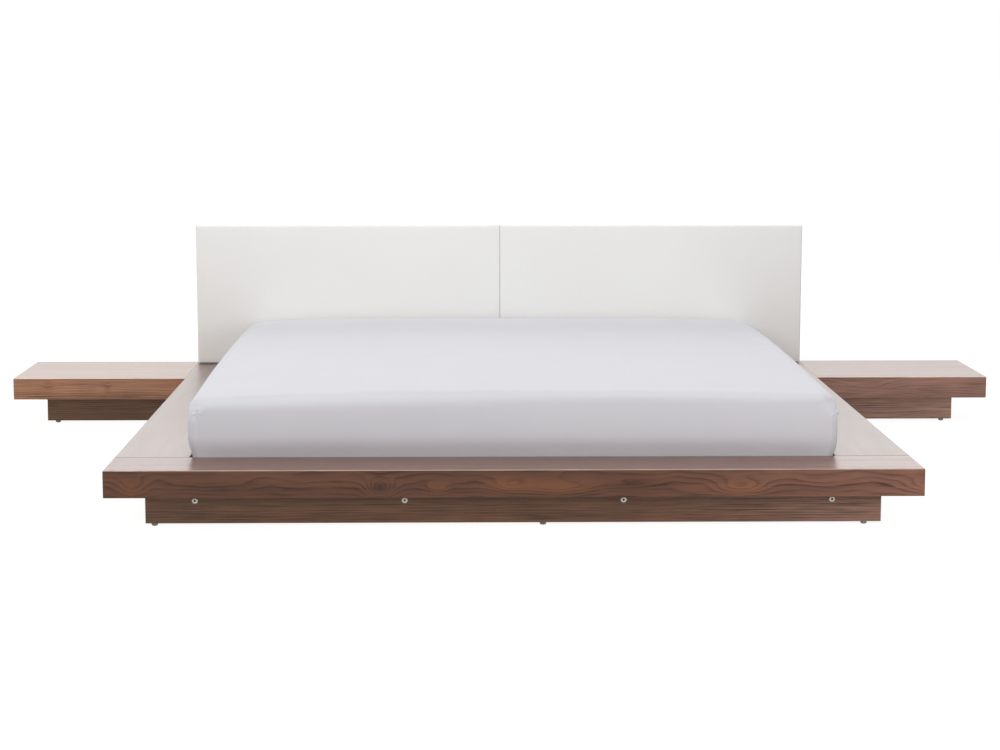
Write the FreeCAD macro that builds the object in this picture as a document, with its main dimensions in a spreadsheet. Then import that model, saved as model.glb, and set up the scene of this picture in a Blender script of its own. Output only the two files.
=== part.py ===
import FreeCAD, Part
import math
import os
import Sketcher

# A low platform bed: a wide veneered ledge round a sunk mattress, a recessed plinth, an upholstered
# headboard in two halves, and two bedside tables whose tops run on from the ledge.
# Millimetres. X runs to the right seen from the foot end, Y towards the headboard and Z up.
# The origin is on the floor under the middle of the whole bed, tables included.

SIZES = {
    "mattress_width": 1800,
    "mattress_length": 2000,
    "mattress_height": 224,
    "mattress_crown": 14,
    "mattress_top_round": 36,
    "mattress_low_round": 26,
    "mattress_corner_round": 44,
    "mattress_gap": 9,
    "cloth_gap": 0.3,
    "bed_sheet_thick": 1.5,
    "bed_sheet_tuck": 70,
    "ledge_width": 210,
    "ledge_thick": 76,
    "skin_thick": 18,
    "ledge_floor_thick": 12,
    "panel_clearance": 0.2,
    "arris": 2,
    "plinth_height": 90,
    "plinth_inset": 100,
    "plinth_rear_inset": 25,
    "plinth_thick": 22,
    "corner_block_width": 40,
    "corner_block_height": 60,
    "glide_height": 8,
    "glide_width": 18,
    "glide_bevel": 4,
    "glide_pin_width": 5,
    "glide_pin_length": 14,
    "glide_inset_left": 24,
    "glide_inset_right": 46,
    "glide_middle_offset": 80,
    "table_glide_inset": 35,
    "joist_width": 40,
    "joist_depth": 68,
    "joist_inner_place": 303,
    "joist_outer_inset": 7,
    "bolt_drop": 26.5,
    "bolt_head_width": 17,
    "bolt_head_bevel": 1.2,
    "bolt_head_thick": 2.4,
    "bolt_width": 6,
    "bolt_hole_width": 7,
    "bolt_reach": 12,
    "bolt_socket_width": 5,
    "bolt_socket_depth": 3,
    "barrel_nut_width": 10,
    "barrel_nut_length": 26,
    "barrel_nut_inset": 45,
    "fit_clearance": 0.2,
    "dowel_width": 8,
    "dowel_drop": 26,
    "dowel_in_joist": 24,
    "dowel_in_plinth": 14,
    "ledge_dowel_spread": 70,
    "rail_dowel_spread": 36,
    "foot_width": 44,
    "foot_pad_width": 36,
    "foot_pad_thick": 3,
    "slat_width": 70,
    "slat_thick": 20,
    "slat_bevel": 4,
    "slat_side_gap": 6,
    "slat_end_gap": 24,
    "webbing_width": 25,
    "webbing_thick": 1.5,
    "bracket_leg": 24,
    "bracket_thick": 2.5,
    "bracket_width": 40,
    "bracket_spacing": 600,
    "plate_length": 120,
    "plate_width": 40,
    "plate_thick": 3,
    "headboard_height": 508,
    "headboard_thick": 72,
    "headboard_gap": 4,
    "headboard_crown": 7,
    "headboard_round": 15,
    "headboard_seam_round": 6,
    "headboard_seam_gap": 1,
    "core_thick": 38,
    "core_cover": 8,
    "back_cloth_thick": 1,
    "strap_width": 40,
    "strap_thick": 4,
    "strap_foot": 60,
    "strap_length": 330,
    "strap_inner_place": 330,
    "strap_outer_inset": 109,
    "spacer_width": 44,
    "table_width": 605,
    "table_depth": 458,
    "link_clearance": 5,
    "link_plate_spacing": 200,
}

SLAT_COUNT = 14
LEDGE_RIB_COUNT = 5
TABLE_RIB_COUNT = 3

LAYOUT = {
    "well_width": "sizes.mattress_width + 2 * sizes.mattress_gap",
    "well_length": "sizes.mattress_length + 2 * sizes.mattress_gap",
    "platform_width": "well_width + 2 * sizes.ledge_width",
    "platform_length": "sizes.ledge_width + well_length + sizes.headboard_thick",
    "half_well": "well_width / 2",
    "half_platform": "platform_width / 2",
    "front": "-platform_length / 2",
    "back": "platform_length / 2",
    "well_front": "front + sizes.ledge_width",
    "well_back": "back - sizes.headboard_thick",
    "side_length": "platform_length - sizes.ledge_width",
    "plinth_half": "half_platform - sizes.plinth_inset",
    "plinth_inside": "plinth_half - sizes.plinth_thick",
    "plinth_front_face": "front + sizes.plinth_inset",
    "plinth_front_back": "plinth_front_face + sizes.plinth_thick",
    "plinth_rear_face": "back - sizes.plinth_rear_inset",
    "plinth_rear_front": "plinth_rear_face - sizes.plinth_thick",
    "joist_length": "plinth_rear_front - plinth_front_back",
    "joist_middle": "(plinth_rear_front + plinth_front_back) / 2",
    "joist_outer_place": "half_well - sizes.joist_outer_inset - sizes.joist_width / 2",
    "between_joists": "(sizes.joist_inner_place + joist_outer_place) / 2",
    "ledge_low": "sizes.glide_height + sizes.plinth_height",
    "ledge_top": "ledge_low + sizes.ledge_thick",
    "ledge_middle": "ledge_low + sizes.ledge_thick / 2",
    "ledge_hollow": "sizes.ledge_thick - sizes.skin_thick",
    "floor_inset": "sizes.skin_thick + sizes.panel_clearance",
    "rib_low": "ledge_low + sizes.ledge_floor_thick",
    "rib_height": "ledge_hollow - sizes.ledge_floor_thick",
    "joist_low": "ledge_low - sizes.joist_depth",
    "bolt_height": "ledge_low - sizes.bolt_drop",
    "bolt_length": "sizes.plinth_thick + sizes.barrel_nut_inset + sizes.bolt_reach",
    "dowel_height": "bolt_height - sizes.dowel_drop",
    "dowel_hole": "sizes.dowel_width + sizes.fit_clearance",
    "pin_hole": "sizes.glide_pin_width + sizes.fit_clearance",
    "slat_length": "well_width - 2 * sizes.slat_side_gap",
    "slat_top": "ledge_low + sizes.slat_thick",
    "slat_first": "well_front + sizes.slat_end_gap",
    "slat_run": "well_length - 2 * sizes.slat_end_gap",
    "slat_pitch": f"(slat_run - sizes.slat_width) / ({SLAT_COUNT} - 1)",
    "headboard_low": "ledge_top + sizes.headboard_gap",
    "headboard_back": "back - sizes.strap_thick",
    "half_headboard": "half_platform - sizes.headboard_seam_gap / 2",
    "core_back": "headboard_back - sizes.back_cloth_thick",
    "core_front": "core_back - sizes.core_thick",
    "core_length": "half_headboard - 2 * sizes.core_cover",
    "core_height": "sizes.headboard_height - 2 * sizes.core_cover",
    "core_inner": "sizes.headboard_seam_gap / 2 + sizes.core_cover",
    "strap_outer_place": "half_well - sizes.strap_outer_inset",
    "table_front": "back - sizes.table_depth",
    "table_outer": "half_platform + sizes.table_width",
    "table_plinth_front": "table_front + sizes.plinth_inset",
    "table_plinth_back": "table_plinth_front + sizes.plinth_thick",
    "table_plinth_run": "plinth_rear_front - table_plinth_back",
    "table_plinth_inner": "half_platform + sizes.plate_length / 2 + sizes.link_clearance",
    "table_plinth_outer": "table_outer - sizes.plinth_inset",
    "table_plinth_length": "table_plinth_outer - table_plinth_inner",
}

# How many flats stand for the round of small turned pieces, of their holes and of a bolt's head.
ROUND_FLAT_COUNT = 12
HEAD_FLAT_COUNT = 16
SOCKET_FLAT_COUNT = 6

# How a piece that is drawn along Z or lying flat is turned into the bed.
X_AXIS = FreeCAD.Vector(1, 0, 0)
Y_AXIS = FreeCAD.Vector(0, 1, 0)
Z_AXIS = FreeCAD.Vector(0, 0, 1)
UPRIGHT = FreeCAD.Rotation()
TO_REAR = FreeCAD.Rotation(X_AXIS, -90)
TO_FRONT = FreeCAD.Rotation(X_AXIS, 90)
TO_RIGHT = FreeCAD.Rotation(Y_AXIS, 90)
QUARTER_TURN = FreeCAD.Rotation(Z_AXIS, 90)
HALF_TURN = FreeCAD.Rotation(Z_AXIS, 180)
BACK_QUARTER_TURN = FreeCAD.Rotation(Z_AXIS, -90)

doc = FreeCAD.newDocument("platform_bed")
nodes = []


def fill_sheet(name, cells):
    """Write one spreadsheet, with a name beside each value and the same name as its alias."""
    sheet = doc.addObject("Spreadsheet::Sheet", name)
    for row, (alias, content) in enumerate(cells.items(), start=1):
        sheet.set(f"A{row}", alias)
        sheet.set(f"B{row}", content)
        sheet.setAlias(f"B{row}", alias)
    doc.recompute()
    return sheet


sizes = fill_sheet("sizes", {alias: str(value) for alias, value in SIZES.items()})
layout = fill_sheet("layout", {alias: f"={formula}" for alias, formula in LAYOUT.items()})


def number(expression):
    """The present value of an expression, for soft forms and for starting a sketch near its solution."""
    return float(sizes.evalExpression(expression))


def bind(item, **expressions):
    """Bind the named properties of an object to their expressions."""
    for name, expression in expressions.items():
        item.setExpression(name, expression)


def place(item, x, y, z, turn=UPRIGHT):
    """Turn an object and bind the place of its own origin."""
    item.Placement = FreeCAD.Placement(FreeCAD.Vector(), turn)
    for axis, expression in (("x", x), ("y", y), ("z", z)):
        item.setExpression(f"Placement.Base.{axis}", expression)


def keep(item):
    """Count a finished object as one of the bed's own pieces."""
    nodes.append(item)
    return item


def block(label, length, width, height, x="0", y="0", z="0"):
    """A plain rectangular piece with its low corner at x, y, z."""
    item = doc.addObject("Part::Box", label)
    bind(item, Length=length, Width=width, Height=height)
    place(item, x, y, z)
    return item


def rod(label, width, length):
    """A turned piece that stands on its own origin."""
    item = doc.addObject("Part::Prism", label)
    item.Polygon = ROUND_FLAT_COUNT
    bind(item, Circumradius=f"({width}) / 2", Height=length)
    return item


def gather(label, source, spots):
    """Copies of the source piece as one object, a copy at each spot: x, y, z and a turn."""
    links = []
    for count, (x, y, z, turn) in enumerate(spots, start=1):
        link = doc.addObject("App::Link", f"{label}_{count}")
        link.LinkedObject = source
        place(link, x, y, z, turn)
        links.append(link)
    group = doc.addObject("Part::Compound", label)
    group.Links = links
    return group


def fused(label, tools):
    """Several tools as one."""
    item = doc.addObject("Part::MultiFuse", label)
    item.Shapes = tools
    return item


def bored(label, blank, tool):
    """A piece with the tool's form taken out of its blank."""
    item = doc.addObject("Part::Cut", label)
    item.Base = blank
    item.Tool = tool
    return item


def sketch_on(body, role, label):
    """A sketch on one of a body's own origin planes."""
    sketch = body.newObject("Sketcher::SketchObject", label)
    plane = next(item for item in body.Origin.OriginFeatures if item.Role == role)
    sketch.AttachmentSupport = [(plane, "")]
    sketch.MapMode = "FlatFace"
    return sketch


def dimension(sketch, kind, ends, expression):
    """Add a driving dimension to a sketch and bind it."""
    index = sketch.addConstraint(Sketcher.Constraint(kind, *ends, number(expression)))
    sketch.renameConstraint(index, f"size_{index}")
    sketch.setExpression(f"Constraints.size_{index}", expression)


def draw_polygon(sketch, corners):
    """Draw a closed outline through corners, each bound to its distance from the origin."""
    points = [FreeCAD.Vector(number(x), number(y), 0) for x, y in corners]
    for start, end in zip(points, points[1:] + points[:1]):
        sketch.addGeometry(Part.LineSegment(start, end))
    for line, (x, y) in enumerate(corners):
        previous = (line - 1) % len(corners)
        sketch.addConstraint(Sketcher.Constraint("Coincident", previous, 2, line, 1))
        for kind, axis, expression in (("DistanceX", -2, x), ("DistanceY", -1, y)):
            if expression == "0":
                sketch.addConstraint(Sketcher.Constraint("PointOnObject", line, 1, axis))
            else:
                dimension(sketch, kind, (-1, 1, line, 1), expression)


def board(label, length, width, thick):
    """A board drawn lying flat with its corner at its own origin."""
    body = doc.addObject("PartDesign::Body", label)
    outline = sketch_on(body, "XY_Plane", f"{label}_outline")
    draw_polygon(outline, [("0", "0"), (length, "0"), (length, width), ("0", width)])
    pad = body.newObject("PartDesign::Pad", f"{label}_pad")
    pad.Profile = outline
    pad.setExpression("Length", thick)
    return body


def bevel(body, size, chosen):
    """Bevel those edges of a body, in its own frame, that the test picks out by their boxes."""
    doc.recompute()
    base = body.Tip
    edges = enumerate(base.Shape.Edges, start=1)
    names = [f"Edge{count}" for count, edge in edges if chosen(edge.BoundBox)]
    chamfer = body.newObject("PartDesign::Chamfer", f"{body.Name}_bevel")
    chamfer.Base = (base, names)
    chamfer.setExpression("Size", size)


def is_level(box, height):
    """Whether an edge lies level at a height."""
    return max(abs(box.ZMin - height), abs(box.ZMax - height)) < Part.Precision.confusion()


def hollow_slab(label, length, width, x, y):
    """A slab made as a box of thin board: a top and four walls, open below, its arrises eased."""
    body = board(label, length, width, "sizes.ledge_thick")
    place(body, x, y, "layout.ledge_low")
    hollow = sketch_on(body, "XY_Plane", f"{label}_hollow")
    near = "sizes.skin_thick"
    far_x = f"{length} - {near}"
    far_y = f"{width} - {near}"
    draw_polygon(hollow, [(near, near), (far_x, near), (far_x, far_y), (near, far_y)])
    pocket = body.newObject("PartDesign::Pocket", f"{label}_pocket")
    pocket.Profile = hollow
    pocket.Reversed = True
    pocket.setExpression("Length", "layout.ledge_hollow")
    middle_x = number(length) / 2
    middle_y = number(width) / 2
    within_walls = number(near) / 2
    top = number("sizes.ledge_thick")

    def on_outside(box):
        upright = box.ZLength > top / 2
        outer_x = abs(box.Center.x - middle_x) > middle_x - within_walls
        outer_y = abs(box.Center.y - middle_y) > middle_y - within_walls
        return is_level(box, top) or (upright and outer_x and outer_y)

    bevel(body, "sizes.arris", on_outside)
    return body


def slab_floor(label, length, width, x, y):
    """The panel let in between a hollow slab's walls, flush with their lower edges."""
    inset = "layout.floor_inset"
    return keep(block(
        label, f"{length} - 2 * {inset}", f"{width} - 2 * {inset}", "sizes.ledge_floor_thick",
        f"{x} + {inset}", f"{y} + {inset}", "layout.ledge_low",
    ))


# Dowels that line the slabs up: through the two walls that meet at each front corner, and through
# the side slabs' inner walls into the ends of the rail. Each hole is a little longer than its dowel.
dowel_spots = []
hole_spots = []
for side in (-1, 1):
    for step in ("-sizes.ledge_dowel_spread / 2", "sizes.ledge_dowel_spread / 2"):
        x = f"{side} * (layout.half_well + sizes.ledge_width / 2) + {step}"
        y = "layout.well_front - sizes.skin_thick"
        dowel_spots.append((x, y, "layout.ledge_middle", TO_REAR))
        hole_spots.append((x, f"{y} - sizes.fit_clearance", "layout.ledge_middle", TO_REAR))
    for step in ("-sizes.rail_dowel_spread / 2", "sizes.rail_dowel_spread / 2"):
        x = f"{side} * layout.half_well - sizes.skin_thick"
        y = f"layout.well_back + sizes.headboard_thick / 2 + {step}"
        dowel_spots.append((x, y, "layout.ledge_middle", TO_RIGHT))
        hole_spots.append((f"{x} - sizes.fit_clearance", y, "layout.ledge_middle", TO_RIGHT))
slab_dowel = rod("slab_dowel", "sizes.dowel_width", "2 * sizes.skin_thick")
dowel_bore = rod("dowel_bore", "layout.dowel_hole", "2 * (sizes.skin_thick + sizes.fit_clearance)")
ledge_bores = gather("ledge_bores", dowel_bore, hole_spots)
keep(gather("ledge_dowels", slab_dowel, dowel_spots))

# The ledge: a front slab across the whole width, and a side slab on each side that butts against
# it and runs back under the headboard.
SIDE_SLAB = ("sizes.ledge_width", "layout.side_length")
SLABS = {
    "front_ledge": ("layout.platform_width", "sizes.ledge_width", "-layout.half_platform", "layout.front"),
    "left_ledge": (*SIDE_SLAB, "-layout.half_platform", "layout.well_front"),
    "right_ledge": (*SIDE_SLAB, "layout.half_well", "layout.well_front"),
}
for label, (length, width, x, y) in SLABS.items():
    keep(bored(label, hollow_slab(f"{label}_slab", length, width, x, y), ledge_bores))
    slab_floor(f"{label}_floor", length, width, x, y)

# The rail between the two side slabs, under the headboard, with a groove behind for each strap that
# holds the headboard.
STRAP_PLACES = [
    "-layout.strap_outer_place", "-sizes.strap_inner_place",
    "sizes.strap_inner_place", "layout.strap_outer_place",
]
groove = block(
    "groove", "sizes.strap_width + 2 * sizes.fit_clearance", "2 * sizes.strap_thick",
    "2 * (sizes.strap_foot + sizes.fit_clearance)",
)
grooves = gather("grooves", groove, [
    (
        f"{spot} - sizes.strap_width / 2 - sizes.fit_clearance", "layout.back - sizes.strap_thick",
        "layout.ledge_top - sizes.strap_foot - sizes.fit_clearance", UPRIGHT,
    )
    for spot in STRAP_PLACES
])
rail_blank = block(
    "rail_blank", "layout.well_width", "sizes.headboard_thick", "sizes.ledge_thick",
    "-layout.half_well", "layout.well_back", "layout.ledge_low",
)
keep(bored("rear_rail", rail_blank, fused("rail_bores", [ledge_bores, grooves])))

# Spacer ribs inside the slabs, between the floor panel and the top.
ledge_rib = block(
    "ledge_rib", "sizes.skin_thick", "sizes.ledge_width - 2 * layout.floor_inset", "layout.rib_height",
)
rib_spots = []
for count in range(1, LEDGE_RIB_COUNT + 1):
    share = f"{count} / ({LEDGE_RIB_COUNT} + 1)"
    rib_spots.append((
        f"-layout.half_platform + layout.platform_width * {share} - sizes.skin_thick / 2",
        "layout.front + layout.floor_inset", "layout.rib_low", UPRIGHT,
    ))
    for outer_wall in ("-layout.half_well", "layout.half_platform"):
        rib_spots.append((
            f"{outer_wall} - layout.floor_inset",
            f"layout.well_front + layout.side_length * {share} - sizes.skin_thick / 2",
            "layout.rib_low", QUARTER_TURN,
        ))
keep(gather("ledge_ribs", ledge_rib, rib_spots))

# The joints between joists and plinth. Each end of a joist is drawn up by one bolt into a barrel nut
# that lies across the joist, and a dowel below stops it turning.
JOISTS = {
    "left_outer_joist": "-layout.joist_outer_place",
    "left_inner_joist": "-sizes.joist_inner_place",
    "right_inner_joist": "sizes.joist_inner_place",
    "right_outer_joist": "layout.joist_outer_place",
}
front_bolt_spots = []
rear_bolt_spots = []
nut_spots = []
end_dowel_spots = []
nut_hole_spots = []
end_dowel_hole_spots = []
for spot in JOISTS.values():
    front_head = "layout.plinth_front_face - sizes.bolt_head_thick"
    rear_head = "layout.plinth_rear_face + sizes.bolt_head_thick"
    front_bolt_spots.append((spot, front_head, "layout.bolt_height", TO_REAR))
    rear_bolt_spots.append((spot, rear_head, "layout.bolt_height", TO_FRONT))
    for y in ("layout.plinth_front_back + sizes.barrel_nut_inset",
              "layout.plinth_rear_front - sizes.barrel_nut_inset"):
        nut_spots.append((f"{spot} - sizes.barrel_nut_length / 2", y, "layout.bolt_height", TO_RIGHT))
        nut_hole_spots.append((f"{spot} - sizes.joist_width", y, "layout.bolt_height", TO_RIGHT))
    for y in ("layout.plinth_front_back - sizes.dowel_in_plinth",
              "layout.plinth_rear_front - sizes.dowel_in_joist"):
        end_dowel_spots.append((spot, y, "layout.dowel_height", TO_REAR))
        end_dowel_hole_spots.append((spot, f"{y} - sizes.fit_clearance", "layout.dowel_height", TO_REAR))

# The bolt: a flat bevelled head with a hexagon socket, and a shank that reaches past the nut.
bolt = doc.addObject("PartDesign::Body", "joist_bolt")
bolt_head = bolt.newObject("PartDesign::AdditivePrism", "bolt_head")
bolt_head.Polygon = HEAD_FLAT_COUNT
bind(bolt_head, Circumradius="sizes.bolt_head_width / 2", Height="sizes.bolt_head_thick")
bevel(bolt, "sizes.bolt_head_bevel", lambda box: is_level(box, 0))
bolt_shank = bolt.newObject("PartDesign::AdditivePrism", "bolt_shank")
bolt_shank.Polygon = ROUND_FLAT_COUNT
bind(
    bolt_shank, Circumradius="sizes.bolt_width / 2",
    Height="sizes.bolt_head_thick / 2 + layout.bolt_length",
)
place(bolt_shank, "0", "0", "sizes.bolt_head_thick / 2")
bolt_socket = bolt.newObject("PartDesign::SubtractivePrism", "bolt_socket")
bolt_socket.Polygon = SOCKET_FLAT_COUNT
bind(
    bolt_socket, Circumradius="sizes.bolt_socket_width / (2 * cos(30deg))",
    Height="sizes.bolt_socket_depth",
)
keep(gather("front_bolts", bolt, front_bolt_spots))
keep(gather("rear_bolts", bolt, rear_bolt_spots))

# The barrel nut, with the bolt's hole across its middle, and the dowel.
nut_barrel = rod("nut_barrel", "sizes.barrel_nut_width", "sizes.barrel_nut_length")
nut_bore = rod("nut_bore", "sizes.bolt_width + sizes.fit_clearance", "2 * sizes.barrel_nut_width")
place(nut_bore, "0", "sizes.barrel_nut_width", "sizes.barrel_nut_length / 2", TO_FRONT)
keep(gather("barrel_nuts", bored("barrel_nut", nut_barrel, nut_bore), nut_spots))
end_dowel = rod("end_dowel", "sizes.dowel_width", "sizes.dowel_in_joist + sizes.dowel_in_plinth")
keep(gather("joist_dowels", end_dowel, end_dowel_spots))

# The holes for them, in joists and plinth alike.
bolt_bore = rod(
    "bolt_bore", "sizes.bolt_hole_width", "sizes.bolt_head_thick + layout.bolt_length + sizes.bolt_width",
)
bolt_bores = gather("bolt_bores", bolt_bore, front_bolt_spots + rear_bolt_spots)
barrel_bore = rod("barrel_bore", "sizes.barrel_nut_width + sizes.fit_clearance", "2 * sizes.joist_width")
barrel_bores = gather("barrel_bores", barrel_bore, nut_hole_spots)
end_dowel_bore = rod(
    "end_dowel_bore", "layout.dowel_hole",
    "sizes.dowel_in_joist + sizes.dowel_in_plinth + 2 * sizes.fit_clearance",
)
end_dowel_bores = gather("end_dowel_bores", end_dowel_bore, end_dowel_hole_spots)

# Four joists from the front plinth board to the rear one, level with the plinth's top, and a foot
# with a felt pad under the middle of each.
joist_bores = fused("joist_bores", [bolt_bores, barrel_bores, end_dowel_bores])
for label, spot in JOISTS.items():
    joist_blank = block(
        f"{label}_blank", "sizes.joist_width", "layout.joist_length", "sizes.joist_depth",
        f"{spot} - sizes.joist_width / 2", "layout.plinth_front_back", "layout.joist_low",
    )
    keep(bored(label, joist_blank, joist_bores))
joist_foot = rod("joist_foot", "sizes.foot_width", "layout.joist_low - sizes.foot_pad_thick")
foot_pad = rod("foot_pad", "sizes.foot_pad_width", "sizes.foot_pad_thick")
keep(gather("joist_feet", joist_foot, [
    (spot, "layout.joist_middle", "sizes.foot_pad_thick", UPRIGHT) for spot in JOISTS.values()
]))
keep(gather("joist_foot_pads", foot_pad, [
    (spot, "layout.joist_middle", "0", UPRIGHT) for spot in JOISTS.values()
]))

# Domed glides under the plinths, each on a square pin pressed into the board's lower edge.
glide = doc.addObject("PartDesign::Body", "glide")
glide_disc = glide.newObject("PartDesign::AdditivePrism", "glide_disc")
glide_disc.Polygon = ROUND_FLAT_COUNT
bind(glide_disc, Circumradius="sizes.glide_width / 2", Height="sizes.glide_height")
bevel(glide, "sizes.glide_bevel", lambda box: is_level(box, 0))
glide_pin = glide.newObject("PartDesign::AdditiveBox", "glide_pin")
bind(
    glide_pin, Length="sizes.glide_pin_width", Width="sizes.glide_pin_width",
    Height="sizes.glide_height / 2 + sizes.glide_pin_length",
)
HALF_PIN = "sizes.glide_pin_width / 2"
place(glide_pin, f"-{HALF_PIN}", f"-{HALF_PIN}", "sizes.glide_height / 2")
pin_bore = block(
    "pin_bore", "layout.pin_hole", "layout.pin_hole", "sizes.glide_pin_length + 2 * sizes.fit_clearance",
)


def stand_on_glides(label, spots):
    """Glides at spots on the floor, and the holes that their pins want."""
    keep(gather(label, glide, [(x, y, "0", UPRIGHT) for x, y in spots]))
    half_hole = "layout.pin_hole / 2"
    level = "sizes.glide_height - sizes.fit_clearance"
    return gather(f"{label}_bores", pin_bore, [
        (f"{x} - {half_hole}", f"{y} - {half_hole}", level, UPRIGHT) for x, y in spots
    ])


HALF_PLINTH = "sizes.plinth_thick / 2"
bed_glide_spots = [
    (x, f"{y} + {HALF_PLINTH}")
    for y in ("layout.plinth_front_face", "layout.plinth_rear_front")
    for x in (
        "sizes.glide_inset_left - layout.plinth_half", "sizes.glide_middle_offset",
        "layout.plinth_half - sizes.glide_inset_right",
    )
]
bed_glide_spots += [
    (f"{x} + {HALF_PLINTH}", f"layout.plinth_front_back + layout.joist_length * {share}")
    for x in ("-layout.plinth_half", "layout.plinth_inside")
    for share in ("1 / 3", "2 / 3")
]
bed_pin_bores = stand_on_glides("bed_glides", bed_glide_spots)

# The recessed plinth: front and rear boards over the whole width, side boards between them.
plinth_bores = fused("plinth_bores", [bolt_bores, end_dowel_bores, bed_pin_bores])
for label, y in (("plinth_front", "layout.plinth_front_face"), ("plinth_rear", "layout.plinth_rear_front")):
    plinth_blank = block(
        f"{label}_blank", "2 * layout.plinth_half", "sizes.plinth_thick", "sizes.plinth_height",
        "-layout.plinth_half", y, "sizes.glide_height",
    )
    keep(bored(label, plinth_blank, plinth_bores))
for label, x in (("plinth_left", "-layout.plinth_half"), ("plinth_right", "layout.plinth_inside")):
    plinth_blank = block(
        f"{label}_blank", "sizes.plinth_thick", "layout.joist_length", "sizes.plinth_height",
        x, "layout.plinth_front_back", "sizes.glide_height",
    )
    keep(bored(label, plinth_blank, bed_pin_bores))

# Blocks glued into the plinth's inside corners.
corner_block = block(
    "corner_block", "sizes.corner_block_width", "sizes.corner_block_width", "sizes.corner_block_height",
)
BLOCK_LEVEL = "sizes.glide_height + (sizes.plinth_height - sizes.corner_block_height) / 2"
keep(gather("plinth_corner_blocks", corner_block, [
    (x, y, BLOCK_LEVEL, UPRIGHT)
    for x in ("-layout.plinth_inside", "layout.plinth_inside - sizes.corner_block_width")
    for y in ("layout.plinth_front_back", "layout.plinth_rear_front - sizes.corner_block_width")
]))

# Flat slats laid across the joists, their long edges eased, strung together by webbing beneath.
slat = board("slat", "layout.slat_length", "sizes.slat_width", "sizes.slat_thick")
slat_reach = number("layout.slat_length")
bevel(slat, "sizes.slat_bevel", lambda box: box.XLength > slat_reach / 2)
keep(gather("slats", slat, [
    (
        "-layout.slat_length / 2", f"layout.slat_first + {count} * layout.slat_pitch",
        "layout.ledge_low", UPRIGHT,
    )
    for count in range(SLAT_COUNT)
]))
webbing = block("webbing", "sizes.webbing_width", "layout.slat_run", "sizes.webbing_thick")
keep(gather("slat_webbing", webbing, [
    (
        f"{x} - sizes.webbing_width / 2", "layout.slat_first",
        "layout.ledge_low - sizes.webbing_thick", UPRIGHT,
    )
    for x in ("-layout.between_joists", "0", "layout.between_joists")
]))

# Steel angles inside the plinth that hold the ledge down to it.
bracket = doc.addObject("PartDesign::Body", "bracket")
bracket_outline = sketch_on(bracket, "XZ_Plane", "bracket_outline")
LEG = "sizes.bracket_leg"
LEG_THICK = "sizes.bracket_thick"
draw_polygon(bracket_outline, [
    ("0", "0"), (LEG_THICK, "0"), (LEG_THICK, f"{LEG} - {LEG_THICK}"),
    (LEG, f"{LEG} - {LEG_THICK}"), (LEG, LEG), ("0", LEG),
])
bracket_pad = bracket.newObject("PartDesign::Pad", "bracket_pad")
bracket_pad.Profile = bracket_outline
bracket_pad.Reversed = True
bracket_pad.setExpression("Length", "sizes.bracket_width")
HALF_BRACKET = "sizes.bracket_width / 2"
BRACKET_LEVEL = "layout.ledge_low - sizes.bracket_leg"
bracket_spots = []
for x in ("-layout.between_joists", "0", "layout.between_joists"):
    bracket_spots += [
        (f"{x} + {HALF_BRACKET}", "layout.plinth_front_back", BRACKET_LEVEL, QUARTER_TURN),
        (f"{x} - {HALF_BRACKET}", "layout.plinth_rear_front", BRACKET_LEVEL, BACK_QUARTER_TURN),
    ]
for y in ("-sizes.bracket_spacing", "0", "sizes.bracket_spacing"):
    bracket_spots += [
        ("-layout.plinth_inside", f"{y} - {HALF_BRACKET}", BRACKET_LEVEL, UPRIGHT),
        ("layout.plinth_inside", f"{y} + {HALF_BRACKET}", BRACKET_LEVEL, HALF_TURN),
    ]
keep(gather("ledge_brackets", bracket, bracket_spots))

# Joining plates: under the two front corners of the ledge, under the line where each table meets the
# ledge, and across the middle of the headboard's back.
plate = block("joining_plate", "sizes.plate_length", "sizes.plate_width", "sizes.plate_thick")
PLATE_LEVEL = "layout.ledge_low - sizes.plate_thick"
HALF_PLATE_LENGTH = "sizes.plate_length / 2"
HALF_PLATE_WIDTH = "sizes.plate_width / 2"
CORNER_PLATE = "(layout.half_well + layout.plinth_inside) / 2"
keep(gather("ledge_plates", plate, [
    (
        f"{side} * {CORNER_PLATE} + {HALF_PLATE_WIDTH}", f"layout.well_front - {HALF_PLATE_LENGTH}",
        PLATE_LEVEL, QUARTER_TURN,
    )
    for side in (-1, 1)
]))
TABLE_MIDDLE = "(layout.table_plinth_front + layout.plinth_rear_face) / 2"
keep(gather("table_link_plates", plate, [
    (
        f"{side} * layout.half_platform - {HALF_PLATE_LENGTH}",
        f"{TABLE_MIDDLE} + {y} - {HALF_PLATE_WIDTH}", PLATE_LEVEL, UPRIGHT,
    )
    for side in (-1, 1)
    for y in ("-sizes.link_plate_spacing / 2", "sizes.link_plate_spacing / 2")
]))
keep(gather("headboard_joining_plates", plate, [
    (
        f"-{HALF_PLATE_LENGTH}", "layout.headboard_back + sizes.plate_thick",
        f"layout.headboard_low + sizes.headboard_height * {share} - {HALF_PLATE_WIDTH}", TO_FRONT,
    )
    for share in ("1 / 4", "3 / 4")
]))


def bowed_line(start, end, bow):
    """A shallow arc from start to end that stands bow proud of the straight line between them."""
    return Part.Arc(start, (start + end) / 2 + bow, end)


def corner_arc(centre, radius, start_way, end_way):
    """A quarter arc round centre, from one direction to the other."""
    half_way = (start_way + end_way).normalize()
    return Part.Arc(centre + start_way * radius, centre + half_way * radius, centre + end_way * radius)


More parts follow.
